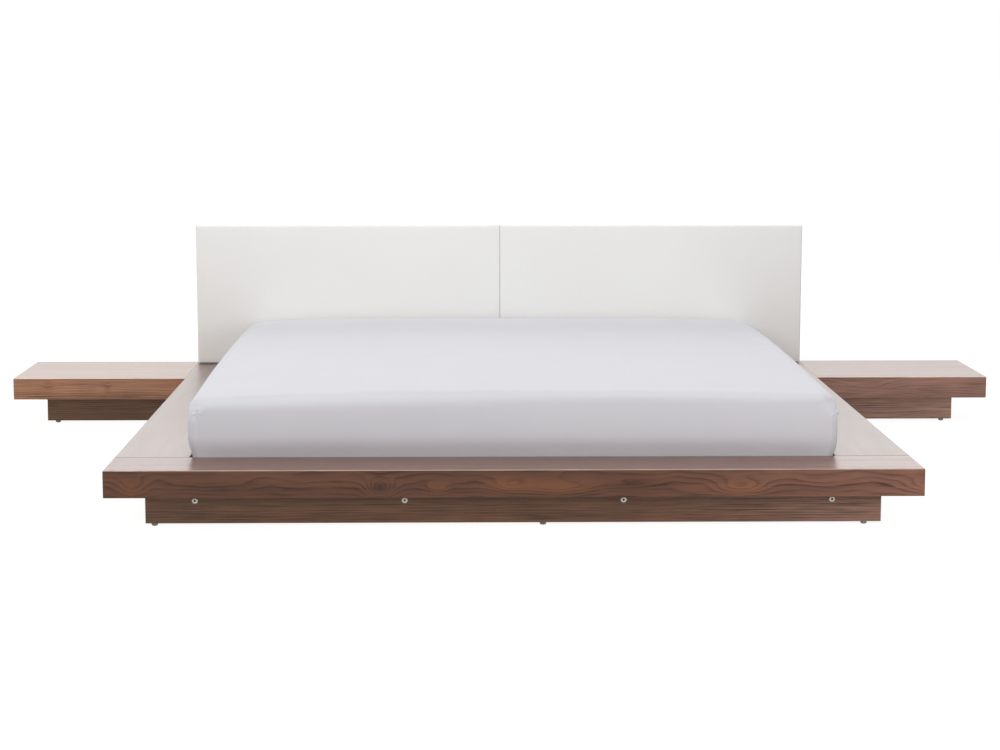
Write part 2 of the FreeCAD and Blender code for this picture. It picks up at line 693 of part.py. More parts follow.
def level_outline(width, length, corner, level):
    """A level rounded rectangle about the Z axis, of four lines and four quarter arcs."""
    ways = [X_AXIS, Y_AXIS, -X_AXIS, -Y_AXIS]
    reach_x = width / 2 - corner
    reach_y = length / 2 - corner
    centres = [
        FreeCAD.Vector(x * reach_x, y * reach_y, level) for x, y in ((1, 1), (-1, 1), (-1, -1), (1, -1))
    ]
    edges = []
    for count, centre in enumerate(centres):
        start_way = ways[count]
        end_way = ways[(count + 1) % len(ways)]
        following = centres[(count + 1) % len(centres)]
        edges.append(corner_arc(centre, corner, start_way, end_way))
        edges.append(Part.LineSegment(centre + end_way * corner, following + end_way * corner))
    return Part.Wire([edge.toShape() for edge in edges])


def soft_piece(label, shape, x, y, z):
    """A soft piece whose form is worked out from the sheet's sizes, then put in its place."""
    item = doc.addObject("Part::Feature", label)
    item.Label = label
    item.Shape = shape
    place(item, x, y, z)
    return keep(item)


# How finely the mattress's rounded rims and its crown are stepped, and where the crown levels off, as
# a share of the way from the rim to the middle.
LOW_RIM_STEP_COUNT = 3
TOP_RIM_STEP_COUNT = 5
CROWN_STEP_COUNT = 4
CROWN_LEVEL_SHARE = 0.8


def quarter_angles(steps):
    """The angles that divide a quarter turn into equal steps, its ends included."""
    return [math.pi / 2 * step / steps for step in range(steps + 1)]


def crown_vault(along, span, across, reach, level):
    """A low vault of flat facets about the Z axis: its section spans one way and it reaches the other."""
    run = number("sizes.mattress_width / 2 - sizes.mattress_corner_round") * CROWN_LEVEL_SHARE
    slope = []
    for step in range(CROWN_STEP_COUNT + 1):
        share = step / CROWN_STEP_COUNT
        rise = number("sizes.mattress_crown") * (1 - (1 - share) ** 2)
        slope.append((span / 2 - run * share, level + rise))
    section = [along * -out + Z_AXIS * rise for out, rise in slope]
    section += [along * out + Z_AXIS * rise for out, rise in reversed(slope)]
    outline = Part.makePolygon([point - across * (reach / 2) for point in section + section[:1]])
    return Part.Face(outline).extrude(across * reach)


def mattress_form(margin):
    """The mattress form, larger all round by a margin: a loft up through level outlines, drawn in
    round the lower rim, straight up the sides and over the upper rim, and a crown vaulted on it."""
    width = number("sizes.mattress_width")
    length = number("sizes.mattress_length")
    height = number("sizes.mattress_height")
    low_round = number("sizes.mattress_low_round")
    top_round = number("sizes.mattress_top_round")
    corner = number("sizes.mattress_corner_round")
    rim = [
        (
            low_round - (low_round + margin) * math.sin(angle),
            low_round - (low_round + margin) * math.cos(angle),
        )
        for angle in quarter_angles(LOW_RIM_STEP_COUNT)
    ]
    rim += [
        (
            top_round - (top_round + margin) * math.cos(angle),
            height - top_round + (top_round + margin) * math.sin(angle),
        )
        for angle in quarter_angles(TOP_RIM_STEP_COUNT)
    ]
    sides = Part.makeLoft([
        level_outline(width - 2 * inset, length - 2 * inset, corner - inset, level) for inset, level in rim
    ], True, True)
    crown_inset = top_round + (corner - top_round) * (1 - math.cos(math.pi / 4))
    crown_width = width - 2 * crown_inset
    crown_length = length - 2 * crown_inset
    over_width = crown_vault(X_AXIS, crown_width, Y_AXIS, crown_length, height + margin)
    over_length = crown_vault(Y_AXIS, crown_length, X_AXIS, crown_width, height + margin)
    return sides.fuse(over_width.common(over_length))


# The mattress, and the fitted sheet stretched over it and tucked under its rim.
WELL_MIDDLE = "(layout.well_front + layout.well_back) / 2"
MATTRESS_LEVEL = "layout.slat_top + 2 * sizes.cloth_gap + sizes.bed_sheet_thick"
soft_piece("mattress", mattress_form(0), "0", WELL_MIDDLE, MATTRESS_LEVEL)
cloth_inside = number("sizes.cloth_gap")
cloth_outside = cloth_inside + number("sizes.bed_sheet_thick")
open_width = number("sizes.mattress_width - 2 * sizes.bed_sheet_tuck")
open_length = number("sizes.mattress_length - 2 * sizes.bed_sheet_tuck")
sheet_opening = Part.makeBox(
    open_width, open_length, number("sizes.mattress_height") / 2,
    FreeCAD.Vector(-open_width / 2, -open_length / 2, -number("sizes.mattress_height") / 4),
)
bed_sheet = mattress_form(cloth_outside).cut(mattress_form(cloth_inside)).cut(sheet_opening)
soft_piece("fitted_sheet", bed_sheet, "0", WELL_MIDDLE, MATTRESS_LEVEL)


def cushioned_face(along, length, depth, crown, start_round, end_round):
    """A face with a straight back and a front, towards the foot end, that is rounded and crowned."""
    front = Y_AXIS * (crown - depth)
    start_centre = along * start_round + front + Y_AXIS * start_round
    end_centre = along * (length - end_round) + front + Y_AXIS * end_round
    back_start = Y_AXIS * 0
    back_end = along * length
    edges = [
        Part.LineSegment(back_end, back_start),
        Part.LineSegment(back_start, start_centre - along * start_round),
        corner_arc(start_centre, start_round, -along, -Y_AXIS),
        bowed_line(start_centre - Y_AXIS * start_round, end_centre - Y_AXIS * end_round, -Y_AXIS * crown),
        corner_arc(end_centre, end_round, -Y_AXIS, along),
        Part.LineSegment(end_centre + along * end_round, back_end),
    ]
    return Part.Face(Part.Wire([edge.toShape() for edge in edges]))


def headboard_pad(side):
    """Half of the headboard's padding, from the middle seam outwards, hollowed behind for its board."""
    along = X_AXIS * side
    length = number("layout.half_headboard")
    height = number("sizes.headboard_height")
    depth = number("sizes.headboard_thick - sizes.strap_thick - sizes.back_cloth_thick")
    crown = number("sizes.headboard_crown")
    rounding = number("sizes.headboard_round")
    plan = cushioned_face(along, length, depth, crown, number("sizes.headboard_seam_round"), rounding)
    section = cushioned_face(Z_AXIS, height, depth, crown, rounding, rounding)
    wall = number("sizes.core_cover - sizes.fit_clearance")
    hollow_depth = number("sizes.core_thick + sizes.fit_clearance")
    hollow_start = wall if side > 0 else wall - length
    hollow = Part.makeBox(
        length - 2 * wall, hollow_depth, height - 2 * wall,
        FreeCAD.Vector(hollow_start, -hollow_depth, wall),
    )
    return plan.extrude(Z_AXIS * height).common(section.extrude(along * length)).cut(hollow)


# The headboard: two upholstered halves that meet at a seam. Each is a board in a padded cover, closed
# behind by a thin cloth. Flat steel straps on the back hold it to the rail, and spacers below keep it
# just clear of the ledge.
for name, side in (("left", -1), ("right", 1)):
    soft_piece(
        f"headboard_{name}_pad", headboard_pad(side),
        f"{side} * sizes.headboard_seam_gap / 2", "layout.core_back", "layout.headboard_low",
    )
    core_corner = "layout.core_inner" if side > 0 else "-layout.core_inner - layout.core_length"
    keep(block(
        f"headboard_{name}_board", "layout.core_length", "sizes.core_thick", "layout.core_height",
        core_corner, "layout.core_front", "layout.headboard_low + sizes.core_cover",
    ))
    keep(block(
        f"headboard_{name}_back_cloth", "layout.core_length", "sizes.back_cloth_thick",
        "layout.core_height", core_corner, "layout.core_back",
        "layout.headboard_low + sizes.core_cover",
    ))

strap = block("strap", "sizes.strap_width", "sizes.strap_thick", "sizes.strap_length")
keep(gather("headboard_straps", strap, [
    (
        f"{spot} - sizes.strap_width / 2", "layout.headboard_back",
        "layout.ledge_top - sizes.strap_foot", UPRIGHT,
    )
    for spot in STRAP_PLACES
]))
spacer = rod("spacer", "sizes.spacer_width", "sizes.headboard_gap")
keep(gather("headboard_spacers", spacer, [
    (spot, "(layout.well_back + layout.headboard_back) / 2", "layout.ledge_top", UPRIGHT)
    for spot in STRAP_PLACES
]))

# The bedside tables: a hollow slab level with the ledge on a recessed plinth of its own, on glides.
table_rib = block(
    "table_rib", "sizes.skin_thick", "sizes.table_depth - 2 * layout.floor_inset", "layout.rib_height",
)
table_rib_spots = []
for name, side in (("left", -1), ("right", 1)):
    slab_x = "layout.half_platform" if side > 0 else "-layout.table_outer"
    slab = ("sizes.table_width", "sizes.table_depth", slab_x, "layout.table_front")
    keep(hollow_slab(f"{name}_table_top", *slab))
    slab_floor(f"{name}_table_floor", *slab)
    for count in range(1, TABLE_RIB_COUNT + 1):
        table_rib_spots.append((
            f"{slab_x} + sizes.table_width * {count} / ({TABLE_RIB_COUNT} + 1) - sizes.skin_thick / 2",
            "layout.table_front + layout.floor_inset", "layout.rib_low", UPRIGHT,
        ))
    low_x = "layout.table_plinth_inner" if side > 0 else "-layout.table_plinth_outer"
    high_x = "layout.table_plinth_outer" if side > 0 else "-layout.table_plinth_inner"
    table_pin_bores = stand_on_glides(f"{name}_table_glides", [
        (x, f"{y} + {HALF_PLINTH}")
        for x in (f"{low_x} + sizes.table_glide_inset", f"{high_x} - sizes.table_glide_inset")
        for y in ("layout.table_plinth_front", "layout.plinth_rear_front")
    ])
    for part, y in (("front", "layout.table_plinth_front"), ("rear", "layout.plinth_rear_front")):
        plinth_blank = block(
            f"{name}_table_{part}_blank", "layout.table_plinth_length", "sizes.plinth_thick",
            "sizes.plinth_height", low_x, y, "sizes.glide_height",
        )
        keep(bored(f"{name}_table_plinth_{part}", plinth_blank, table_pin_bores))
    for part, x in (("left_end", low_x), ("right_end", f"{high_x} - sizes.plinth_thick")):
        keep(block(
            f"{name}_table_plinth_{part}", "sizes.plinth_thick", "layout.table_plinth_run",
            "sizes.plinth_height", x, "layout.table_plinth_back", "sizes.glide_height",
        ))
keep(gather("table_ribs", table_rib, table_rib_spots))

doc.recompute()
for item in doc.Objects:
    if "Invalid" in item.State or "Error" in item.State:
        raise RuntimeError(f"{item.Label} did not recompute: {item.State}")
    if item.TypeId == "PartDesign::Pocket" and item.Shape.Volume >= item.BaseFeature.Shape.Volume:
        raise RuntimeError(f"{item.Label} cuts nothing")
    if item.TypeId == "Part::Cut" and item.Shape.Volume >= item.Base.Shape.Volume:
        raise RuntimeError(f"{item.Label} has no holes")
for item in nodes:
    if item.Shape.isNull() or not item.Shape.isValid() or item.Shape.Volume <= 0:
        raise RuntimeError(f"{item.Label} has no sound shape")

os.makedirs("parts", exist_ok=True)
for item in nodes:
    item.Shape.exportStep(f"parts/{item.Label}.step")
print(f"{len(nodes)} pieces, {sum(len(item.Shape.Solids) for item in nodes)} solids")
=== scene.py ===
import math

import bmesh
import bpy
from mathutils import Matrix, Vector, noise


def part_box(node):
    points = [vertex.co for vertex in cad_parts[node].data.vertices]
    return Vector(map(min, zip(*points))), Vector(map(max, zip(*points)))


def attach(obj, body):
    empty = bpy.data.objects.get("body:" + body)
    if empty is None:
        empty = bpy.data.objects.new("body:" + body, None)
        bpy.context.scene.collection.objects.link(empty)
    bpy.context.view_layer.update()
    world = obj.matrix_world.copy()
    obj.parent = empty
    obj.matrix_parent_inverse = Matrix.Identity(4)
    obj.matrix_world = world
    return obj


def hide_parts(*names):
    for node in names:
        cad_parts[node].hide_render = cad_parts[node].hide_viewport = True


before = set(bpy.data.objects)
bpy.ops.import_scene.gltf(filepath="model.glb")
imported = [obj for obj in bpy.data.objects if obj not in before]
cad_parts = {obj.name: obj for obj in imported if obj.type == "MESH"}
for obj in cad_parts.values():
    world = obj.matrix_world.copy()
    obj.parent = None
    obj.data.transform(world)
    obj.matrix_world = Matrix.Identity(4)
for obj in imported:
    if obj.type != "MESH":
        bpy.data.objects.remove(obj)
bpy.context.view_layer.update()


# Plinth boards of the bed and of the two tables: veneered panels set back under the slabs, butted
# at their corners and standing on glides. The walnut veneer runs lengthwise and is straight in the
# grain; a satin lacquer lies over it.
def linear(red, green, blue):
    """A colour as a painter's chart gives it, 0 to 255, as Blender's nodes want it."""
    parts = [c / 255 for c in (red, green, blue)]
    return [c / 12.92 if c <= 0.04045 else ((c + 0.055) / 1.055) ** 2.4 for c in parts] + [1.0]


def add(tree, kind, feeds=None, **settings):
    """A new node with its settings made and its inputs set or linked."""
    made = tree.nodes.new("ShaderNode" + kind)
    for key, value in settings.items():
        setattr(made, key, value)
    for key, value in (feeds or {}).items():
        if isinstance(value, bpy.types.NodeSocket):
            tree.links.new(value, made.inputs[key])
        else:
            made.inputs[key].default_value = value
    return made


def calc(tree, operation, *terms):
    """The result of one sum on sockets and numbers."""
    return add(tree, "Math", dict(enumerate(terms)), operation=operation).outputs[0]


def topped_up(tree, first, second):
    """Two values added and held between nothing and one."""
    return add(tree, "Math", {0: first, 1: second}, use_clamp=True).outputs[0]


def mixed(tree, share, first, second, way="MIX"):
    """Two colours mixed, or multiplied, by a share."""
    return add(tree, "Mix", {0: share, 6: first, 7: second}, data_type="RGBA", blend_type=way).outputs[2]


def cloudy(tree, place, scale=1.0, detail=2.0):
    """Soft noise about a half."""
    return add(tree, "TexNoise", {"Vector": place, "Scale": scale, "Detail": detail}).outputs[0]


def grey_ramp(tree, value, *stops):
    """A curve through (place, value) stops."""
    ramp = add(tree, "ValToRGB", {0: value})
    marks = ramp.color_ramp.elements
    while len(marks) < len(stops):
        marks.new(0.5)
    for mark, (place, level) in zip(marks, sorted(stops)):
        mark.position = place
        mark.color = (level, level, level, 1.0)
    return ramp.outputs[0]


# Each mark of the wood: its scale along the grain and across it, and its detail. The last mark breaks up
# the painted highlight on the arrises.
MARKS = {"slow": (1.6, 5.0, 1.0), "figure": (5.5, 17.0, 1.5), "fading": (9.0, 40.0, 1.0),
         "tone": (2.2, 22.0, 2.0), "fibre": (7.0, 330.0, 2.0), "pores": (26.0, 1500.0, 1.0),
         "patches": (4.0, 24.0, 2.0), "glint": (9.0, 30.0, 2.0)}
LATE_WOOD = ((0.0, 0.3), (0.12, 0.06), (0.45, 0.2), (0.78, 0.72), (0.9, 1.0), (1.0, 0.3))
FADED_RINGS = ((0.32, 0.35), (0.6, 1.0))
OPEN_PORES = ((0.56, 0.0), (0.68, 1.0))
PALE_PATCHES = ((0.42, 0.0), (0.66, 1.0))
FIGURE_RINGS, RING_LEAST, RING_VARIES = 11.0, 0.6, 0.5
BASE_DEPTH, TONE_DEPTH, CHANCE_DEPTH, PORE_DEPTH = 0.14, 0.9, 0.45, 0.2
PATCH_SHARE, PALE_TINT = 0.28, (1.5, 1.36, 1.05, 1.0)
WOOD_ROUGH, TONE_ROUGH, PORE_ROUGH, FIBRE_HEIGHT = 0.34, 0.12, 0.1, 0.3


def marked(tree, kind, along, across, seed):
    """Soft noise about a half, drawn out along the grain as one mark of the wood is."""
    along_scale, across_scale, detail = MARKS[kind]
    run = calc(tree, "MULTIPLY", along, along_scale)
    rise = calc(tree, "MULTIPLY", across, across_scale)
    return cloudy(tree, add(tree, "CombineXYZ", {0: run, 1: rise, 2: seed}).outputs[0], detail=detail)


def growth_rings():
    """Wood from its rings: a field that counts them, dark late wood at each ring's end, fibre and pores."""
    group = bpy.data.node_groups.new("growth_rings", "ShaderNodeTree")
    for label in ("Along", "Across", "Knots", "Core", "Pale", "Seed", "Ring Width", "Figure", "Wander",
                  "Contrast", "Fibre"):
        group.interface.new_socket(name=label, in_out="INPUT", socket_type="NodeSocketFloat")
    for label in ("Light", "Dark"):
        group.interface.new_socket(name=label, in_out="INPUT", socket_type="NodeSocketColor")
    given = group.nodes.new("NodeGroupInput").outputs
    where = given["Along"], given["Across"], given["Seed"]

    def about_zero(value):
        return calc(group, "SUBTRACT", value, 0.5)

    count = calc(group, "DIVIDE", given["Across"], given["Ring Width"])
    count = calc(group, "MULTIPLY_ADD", about_zero(marked(group, "slow", *where)), given["Wander"], count)
    figure = calc(group, "MULTIPLY", given["Figure"], FIGURE_RINGS)
    count = calc(group, "MULTIPLY_ADD", about_zero(marked(group, "figure", *where)), figure, count)
    count = calc(group, "ADD", count, given["Knots"])
    chance = add(group, "TexWhiteNoise", {"W": calc(group, "FLOOR", count)}, noise_dimensions="1D").outputs[0]
    late = grey_ramp(group, calc(group, "FRACT", count), *LATE_WOOD)
    late = calc(group, "MULTIPLY", late, grey_ramp(group, marked(group, "fading", *where), *FADED_RINGS))
    late = calc(group, "MULTIPLY", late, calc(group, "MULTIPLY_ADD", chance, RING_VARIES, RING_LEAST))
    tone = about_zero(marked(group, "tone", *where))
    fibre = about_zero(marked(group, "fibre", *where))
    pores = grey_ramp(group, marked(group, "pores", *where), *OPEN_PORES)
    depth = calc(group, "MULTIPLY", late, given["Contrast"])
    depth = calc(group, "MULTIPLY_ADD", tone, TONE_DEPTH, depth)
    swing = calc(group, "MULTIPLY", given["Contrast"], CHANCE_DEPTH)
    depth = calc(group, "MULTIPLY_ADD", about_zero(chance), swing, depth)
    depth = calc(group, "MULTIPLY_ADD", fibre, given["Fibre"], depth)
    depth = calc(group, "ADD", depth, given["Core"])
    depth = topped_up(group, calc(group, "MULTIPLY_ADD", pores, PORE_DEPTH, depth), BASE_DEPTH)
    color = mixed(group, depth, given["Light"], given["Dark"])
    patches = grey_ramp(group, marked(group, "patches", *where), *PALE_PATCHES)
    patches = calc(group, "MULTIPLY", patches, PATCH_SHARE)
    color = mixed(group, topped_up(group, patches, given["Pale"]), color, PALE_TINT, "MULTIPLY")
    rough = calc(group, "MULTIPLY_ADD", tone, TONE_ROUGH, WOOD_ROUGH)
    rough = calc(group, "MULTIPLY_ADD", pores, PORE_ROUGH, rough)
    height = calc(group, "SUBTRACT", calc(group, "MULTIPLY", fibre, FIBRE_HEIGHT), pores)
    end = group.nodes.new("NodeGroupOutput").inputs
    for label, kind, result in (("Color", "Color", color), ("Roughness", "Float", rough),
                                ("Height", "Float", height)):
        group.interface.new_socket(name=label, in_out="OUTPUT", socket_type="NodeSocket" + kind)
        group.links.new(result, end[label])
    return group


RINGS = growth_rings()


def new_finish(name, **sockets):
    """A material with a Principled shader, its constants set on the shader's own sockets.

    Beside it come its nodes, the shader and the place on the piece that patterns follow."""
    finish = bpy.data.materials.new(name)
    finish.use_nodes = True
    tree = finish.node_tree
    shader = tree.nodes["Principled BSDF"]
    for label, value in sockets.items():
        shader.inputs[label.replace("_", " ").replace("Ior", "IOR")].default_value = value
    return finish, tree, shader, add(tree, "TexCoord").outputs["Object"]


def coat(tree, shader, color, rough, height, strength, depth):
    """Links a shader's colour, its roughness where that varies, and a bump that follows a height."""
    tree.links.new(color, shader.inputs["Base Color"])
    if rough is not None:
        tree.links.new(rough, shader.inputs["Roughness"])
    bump = add(tree, "Bump", {"Height": height, "Strength": strength, "Distance": depth})
    tree.links.new(bump.outputs[0], shader.inputs["Normal"])


# Below: the share of the painted top tone on upward faces, where the painted sheen runs along a board, and
# the colour of the painted highlight on arrises.
FLAT_FACE, TOP_PAINTED_SHARE, FAR_FROM, FAR_TO = 0.7, 0.45, 0.35, 1.5
PAINTED_ARRIS_HIGHLIGHT, ARRIS_TILT, ARRIS_LEAN = linear(246, 226, 204), 0.985, 0.15
HIGHLIGHT_LEAST, GRAIN_STRENGTH, GRAIN_DEPTH = 0.3, 0.25, 0.0004


def sawn_wood(name, grain, light, dark, seed, ring, figure=0.12, wander=2.0, contrast=0.8, fibre=0.8,
              knots=(), painted_far_sheen=None, worn=0.0, painted_top_light=None, **sockets):
    """Wood or veneer whose grain runs along one axis; end faces take it along the other one.

    A knot has its place along and across the grain, its half length and height, the rings that bend
    round it, and how much darker it is, or paler where that is below nothing. The light tone may grow
    towards a paler far tone along the board, a painted sheen for light from that side. The upward faces
    may be mixed towards a tone painted for the reflection and shade that lie on them, and upturned
    arrises take a painted highlight, but not where another slab is butted against them."""
    finish, tree, shader, place = new_finish(name, **sockets)
    at = add(tree, "SeparateXYZ", {0: place}).outputs
    facing = add(tree, "SeparateXYZ", {0: place.node.outputs["Normal"]}).outputs
    run, side = ("X", "Y") if grain == "X" else ("Y", "X")
    end = calc(tree, "GREATER_THAN", calc(tree, "ABSOLUTE", facing[run]), FLAT_FACE)
    along = calc(tree, "MULTIPLY_ADD", calc(tree, "SUBTRACT", at[side], at[run]), end, at[run])
    over = at[side]
    if grain == "Y":
        over = calc(tree, "MULTIPLY", calc(tree, "ABSOLUTE", over), -1.0)
    across = calc(tree, "MULTIPLY_ADD", over, calc(tree, "SUBTRACT", 1.0, end), at["Z"])
    rings = core = pale = 0.0
    for knot_along, knot_across, half_length, half_height, count, darker in knots:
        far = calc(tree, "DIVIDE", calc(tree, "SUBTRACT", along, knot_along), half_length)
        up = calc(tree, "DIVIDE", calc(tree, "SUBTRACT", across, knot_across), half_height)
        spread = calc(tree, "MULTIPLY_ADD", up, up, calc(tree, "MULTIPLY", far, far))
        near = calc(tree, "EXPONENT", calc(tree, "MULTIPLY", spread, -1.0))
        rings = calc(tree, "MULTIPLY_ADD", near, count, rings)
        if darker > 0:
            core = calc(tree, "MULTIPLY_ADD", near, darker, core)
        else:
            pale = calc(tree, "MULTIPLY_ADD", near, -darker, pale)
    # The light tone grows towards a paler one along the board: a painted sheen for light from that side.
    if painted_far_sheen:
        reach = add(tree, "MapRange", {0: along, 1: FAR_FROM, 2: FAR_TO}).outputs[0]
        light = mixed(tree, reach, light, painted_far_sheen)
    wood = add(tree, "Group", {"Along": along, "Across": across, "Knots": rings, "Core": core, "Pale": pale,
                               "Seed": seed, "Ring Width": ring, "Figure": figure, "Wander": wander,
                               "Contrast": contrast, "Fibre": fibre, "Light": light, "Dark": dark},
               node_tree=RINGS).outputs
    color = wood["Color"]
    # Upward faces are mixed towards another tone: painted light that stands in for reflection and shade on
    # the tops.
    if painted_top_light:
        upward = calc(tree, "MULTIPLY", calc(tree, "GREATER_THAN", facing["Z"], FLAT_FACE), TOP_PAINTED_SHARE)
        color = mixed(tree, upward, color, painted_top_light)
    # Upturned arrises take a paler colour, a painted highlight, patchy along the board.
    if worn:
        square = calc(tree, "ABSOLUTE", facing["Z"])
        for axis in ("X", "Y"):
            square = calc(tree, "MAXIMUM", square, calc(tree, "ABSOLUTE", facing[axis]))
        butted = facing["Y"] if grain == "X" else calc(tree, "ABSOLUTE", facing["Y"])
        arris = calc(tree, "MULTIPLY", calc(tree, "LESS_THAN", square, ARRIS_TILT),
                     calc(tree, "GREATER_THAN", facing["Z"], ARRIS_LEAN))
        arris = calc(tree, "MULTIPLY", arris, calc(tree, "LESS_THAN", butted, ARRIS_LEAN))
        patchy = marked(tree, "glint", along, across, seed)
        highlight_share = calc(tree, "MULTIPLY_ADD", patchy, worn, worn * HIGHLIGHT_LEAST)
        color = mixed(tree, calc(tree, "MULTIPLY", arris, highlight_share), color, PAINTED_ARRIS_HIGHLIGHT)
    coat(tree, shader, color, wood["Roughness"], wood["Height"], GRAIN_STRENGTH, GRAIN_DEPTH)
    return finish


def dress(finish, *nodes):
    """Gives CAD pieces a finish."""
    for node in nodes:
        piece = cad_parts[node]
        if piece.material_slots:
            piece.material_slots[0].material = finish
        else:
            piece.data.materials.append(finish)


LACQUER = {"Coat_Weight": 1.0, "Coat_Roughness": 0.3, "Coat_Ior": 1.25, "Specular_Ior_Level": 0.08}
PLINTH = {"light": linear(121, 90, 71), "dark": linear(70, 48, 38), "ring": 0.0078, "figure": 0.05,
          "wander": 0.9, "contrast": 0.5, "fibre": 1.8}
# The long boards grow paler towards the right: a painted sheen for light from that side.
dress(sawn_wood("walnut_plinth_long", "X", seed=3.0, painted_far_sheen=linear(182, 145, 130), **PLINTH, **LACQUER),
      "plinth_front", "plinth_rear", "left_table_plinth_front", "left_table_plinth_rear",
      "right_table_plinth_front", "right_table_plinth_rear")
dress(sawn_wood("walnut_plinth_end", "Y", seed=5.0, **PLINTH, **LACQUER),
      "plinth_left", "plinth_right", "left_table_plinth_left_end", "left_table_plinth_right_end",
      "right_table_plinth_left_end", "right_table_plinth_right_end")
PINE = {"light": linear(224, 190, 142), "dark": linear(176, 128, 80), "contrast": 0.6}
pine_blocks = sawn_wood("pine_blocks", "Y", seed=11.0, ring=0.005, **PINE)
dress(pine_blocks, "plinth_corner_blocks")


# Glides under every plinth: dark grey plastic nails with a domed foot and a pin that is pressed
# into the board. One is turned, then copied to its places.
def alone(piece):
    """Makes one piece the only one selected, and active."""
    bpy.ops.object.select_all(action="DESELECT")
    piece.select_set(True)
    bpy.context.view_layer.objects.active = piece


def mode(kind):
    bpy.ops.object.mode_set(mode=kind)


def drawn_out(*way):
    """Extrudes what is selected in edit mode."""
    bpy.ops.mesh.extrude_region_move(TRANSFORM_OT_translate={"value": way})


def named(name):
    """The object that an operator has just made, with its place and size put into its mesh."""
    piece = bpy.context.object
    piece.name = piece.data.name = name
    alone(piece)
    bpy.ops.object.transform_apply(location=True, rotation=True, scale=True)
    return piece


def turned(name, sides, profile):
    """A round piece drawn out along Z: a disc, extruded and resized through (radius, height) steps."""
    radius, height = profile[0]
    bpy.ops.mesh.primitive_circle_add(vertices=sides, radius=radius, fill_type="NGON",
                                      location=(0, 0, height))
    piece = named(name)
    mode("EDIT")
    bpy.ops.mesh.select_all(action="SELECT")
    for (before, low), (after, high) in zip(profile, profile[1:]):
        drawn_out(0, 0, high - low)
        share = after / before
        bpy.ops.transform.resize(value=(share, share, 1), center_override=(0, 0, high))
    bpy.ops.mesh.select_all(action="SELECT")
    bpy.ops.mesh.normals_make_consistent(inside=False)
    mode("OBJECT")
    return piece


def shaded(piece, degrees):
    """Smooth shading, with edges sharper than an angle kept crisp."""
    alone(piece)
    bpy.ops.object.shade_smooth_by_angle(angle=math.radians(degrees))


def twin(piece, name):
    """A copy of a piece, with a mesh of its own."""
    copy = piece.copy()
    copy.data = piece.data.copy()
    copy.name = copy.data.name = name
    bpy.context.collection.objects.link(copy)
    return copy


def set_out(piece, name, places, finish, degrees=40):
    """Copies a piece to its places, each a matrix, and joins the copies into one piece with a finish."""
    made = twin(piece, name)
    others = [twin(piece, name) for _ in places[1:]]
    for copy, place in zip([made] + others, places):
        copy.data.transform(place)
    bpy.data.objects.remove(piece)
    alone(made)
    for copy in others:
        copy.select_set(True)
    bpy.ops.object.join()
    if finish:
        made.data.materials.clear()
        made.data.materials.append(finish)
    shaded(made, degrees)
    return made


def fit(piece, body, slot, *nodes):
    """Fixes a piece to its body and hides the CAD nodes that it stands for. Its finish's slot is not used."""
    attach(piece, body)
    if nodes:
        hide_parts(*nodes)


CLOUD_SCALE, CLOUD_SHARE, SPECK_SHARE, SPECK_ROUGH = 40, 0.4, 0.6, 0.2
SPECKS = ((0.36, 0.0), (0.64, 1.0))


def speckled(name, light, dark, scale, rough, strength, depth, **sockets):
    """A finish of fine specks, as of moulded plastic, coating, felt or board."""
    finish, tree, shader, place = new_finish(name, **sockets)
    specks = cloudy(tree, place, scale, 4.0)
    clouds = cloudy(tree, place, scale / CLOUD_SCALE, 2.0)
    share = calc(tree, "MULTIPLY_ADD", clouds, CLOUD_SHARE, calc(tree, "MULTIPLY", specks, SPECK_SHARE))
    color = mixed(tree, grey_ramp(tree, share, *SPECKS), dark, light)
    rough = calc(tree, "MULTIPLY_ADD", specks, SPECK_ROUGH, rough - SPECK_ROUGH / 2)
    coat(tree, shader, color, rough, specks, strength, depth)
    return finish


glide_plastic = speckled("glide_plastic", linear(138, 138, 140), linear(104, 104, 106), 900.0, 0.4,
                         0.15, 0.0002)
GLIDE = [(0.0055, 0.0), (0.0074, 0.0008), (0.0086, 0.0022), (0.009, 0.0042), (0.009, 0.0072), (0.0086, 0.008),
         (0.0024, 0.008), (0.0024, 0.019), (0.0008, 0.022)]
GLIDE_SIDES, FRONT_ROW, REAR_ROW, TABLE_ROW = 28, -1.039, 1.114, 0.803
BED_GLIDES = [(x, y) for x in (-0.995, 0.080, 0.973) for y in (FRONT_ROW, REAR_ROW)]
BED_GLIDES += [(x, y) for x in (-1.008, 1.008) for y in (-0.3177, 0.3927)]
for node, spots in {
    "bed_glides": BED_GLIDES,
    "left_table_glides": [(x, y) for x in (-1.589, -1.219) for y in (TABLE_ROW, REAR_ROW)],
    "right_table_glides": [(x, y) for x in (1.219, 1.589) for y in (TABLE_ROW, REAR_ROW)],
}.items():
    glides = set_out(turned("glide", GLIDE_SIDES, GLIDE), node + "_domed",
                     [Matrix.Translation((x, y, 0)) for x, y in spots], glide_plastic)
    fit(glides, "bed_frame", "glide_plastic", node)


# Four pine joists run from the front plinth to the rear one, each with a turned foot under its
# middle and a felt pad under the foot. A dowel and a bolt with a barrel nut hold each end.
JOISTS = ("left_outer_joist", "left_inner_joist", "right_inner_joist", "right_outer_joist")
for number, joist in enumerate(JOISTS):
    dress(sawn_wood(f"pine_{joist}", "Y", seed=20.0 + 3 * number, ring=0.007, figure=0.3, wander=4.0, **PINE),
          joist)
dress(pine_blocks, "joist_feet")
beech = sawn_wood("beech_dowel", "Y", linear(214, 172, 124), linear(180, 132, 86), seed=31.0, ring=0.003)
dress(beech, "joist_dowels")
SCRATCHES, STAIN_SCALE, SCRATCH_ROUGH = (900.0, 140.0, 900.0), 60.0, 0.3


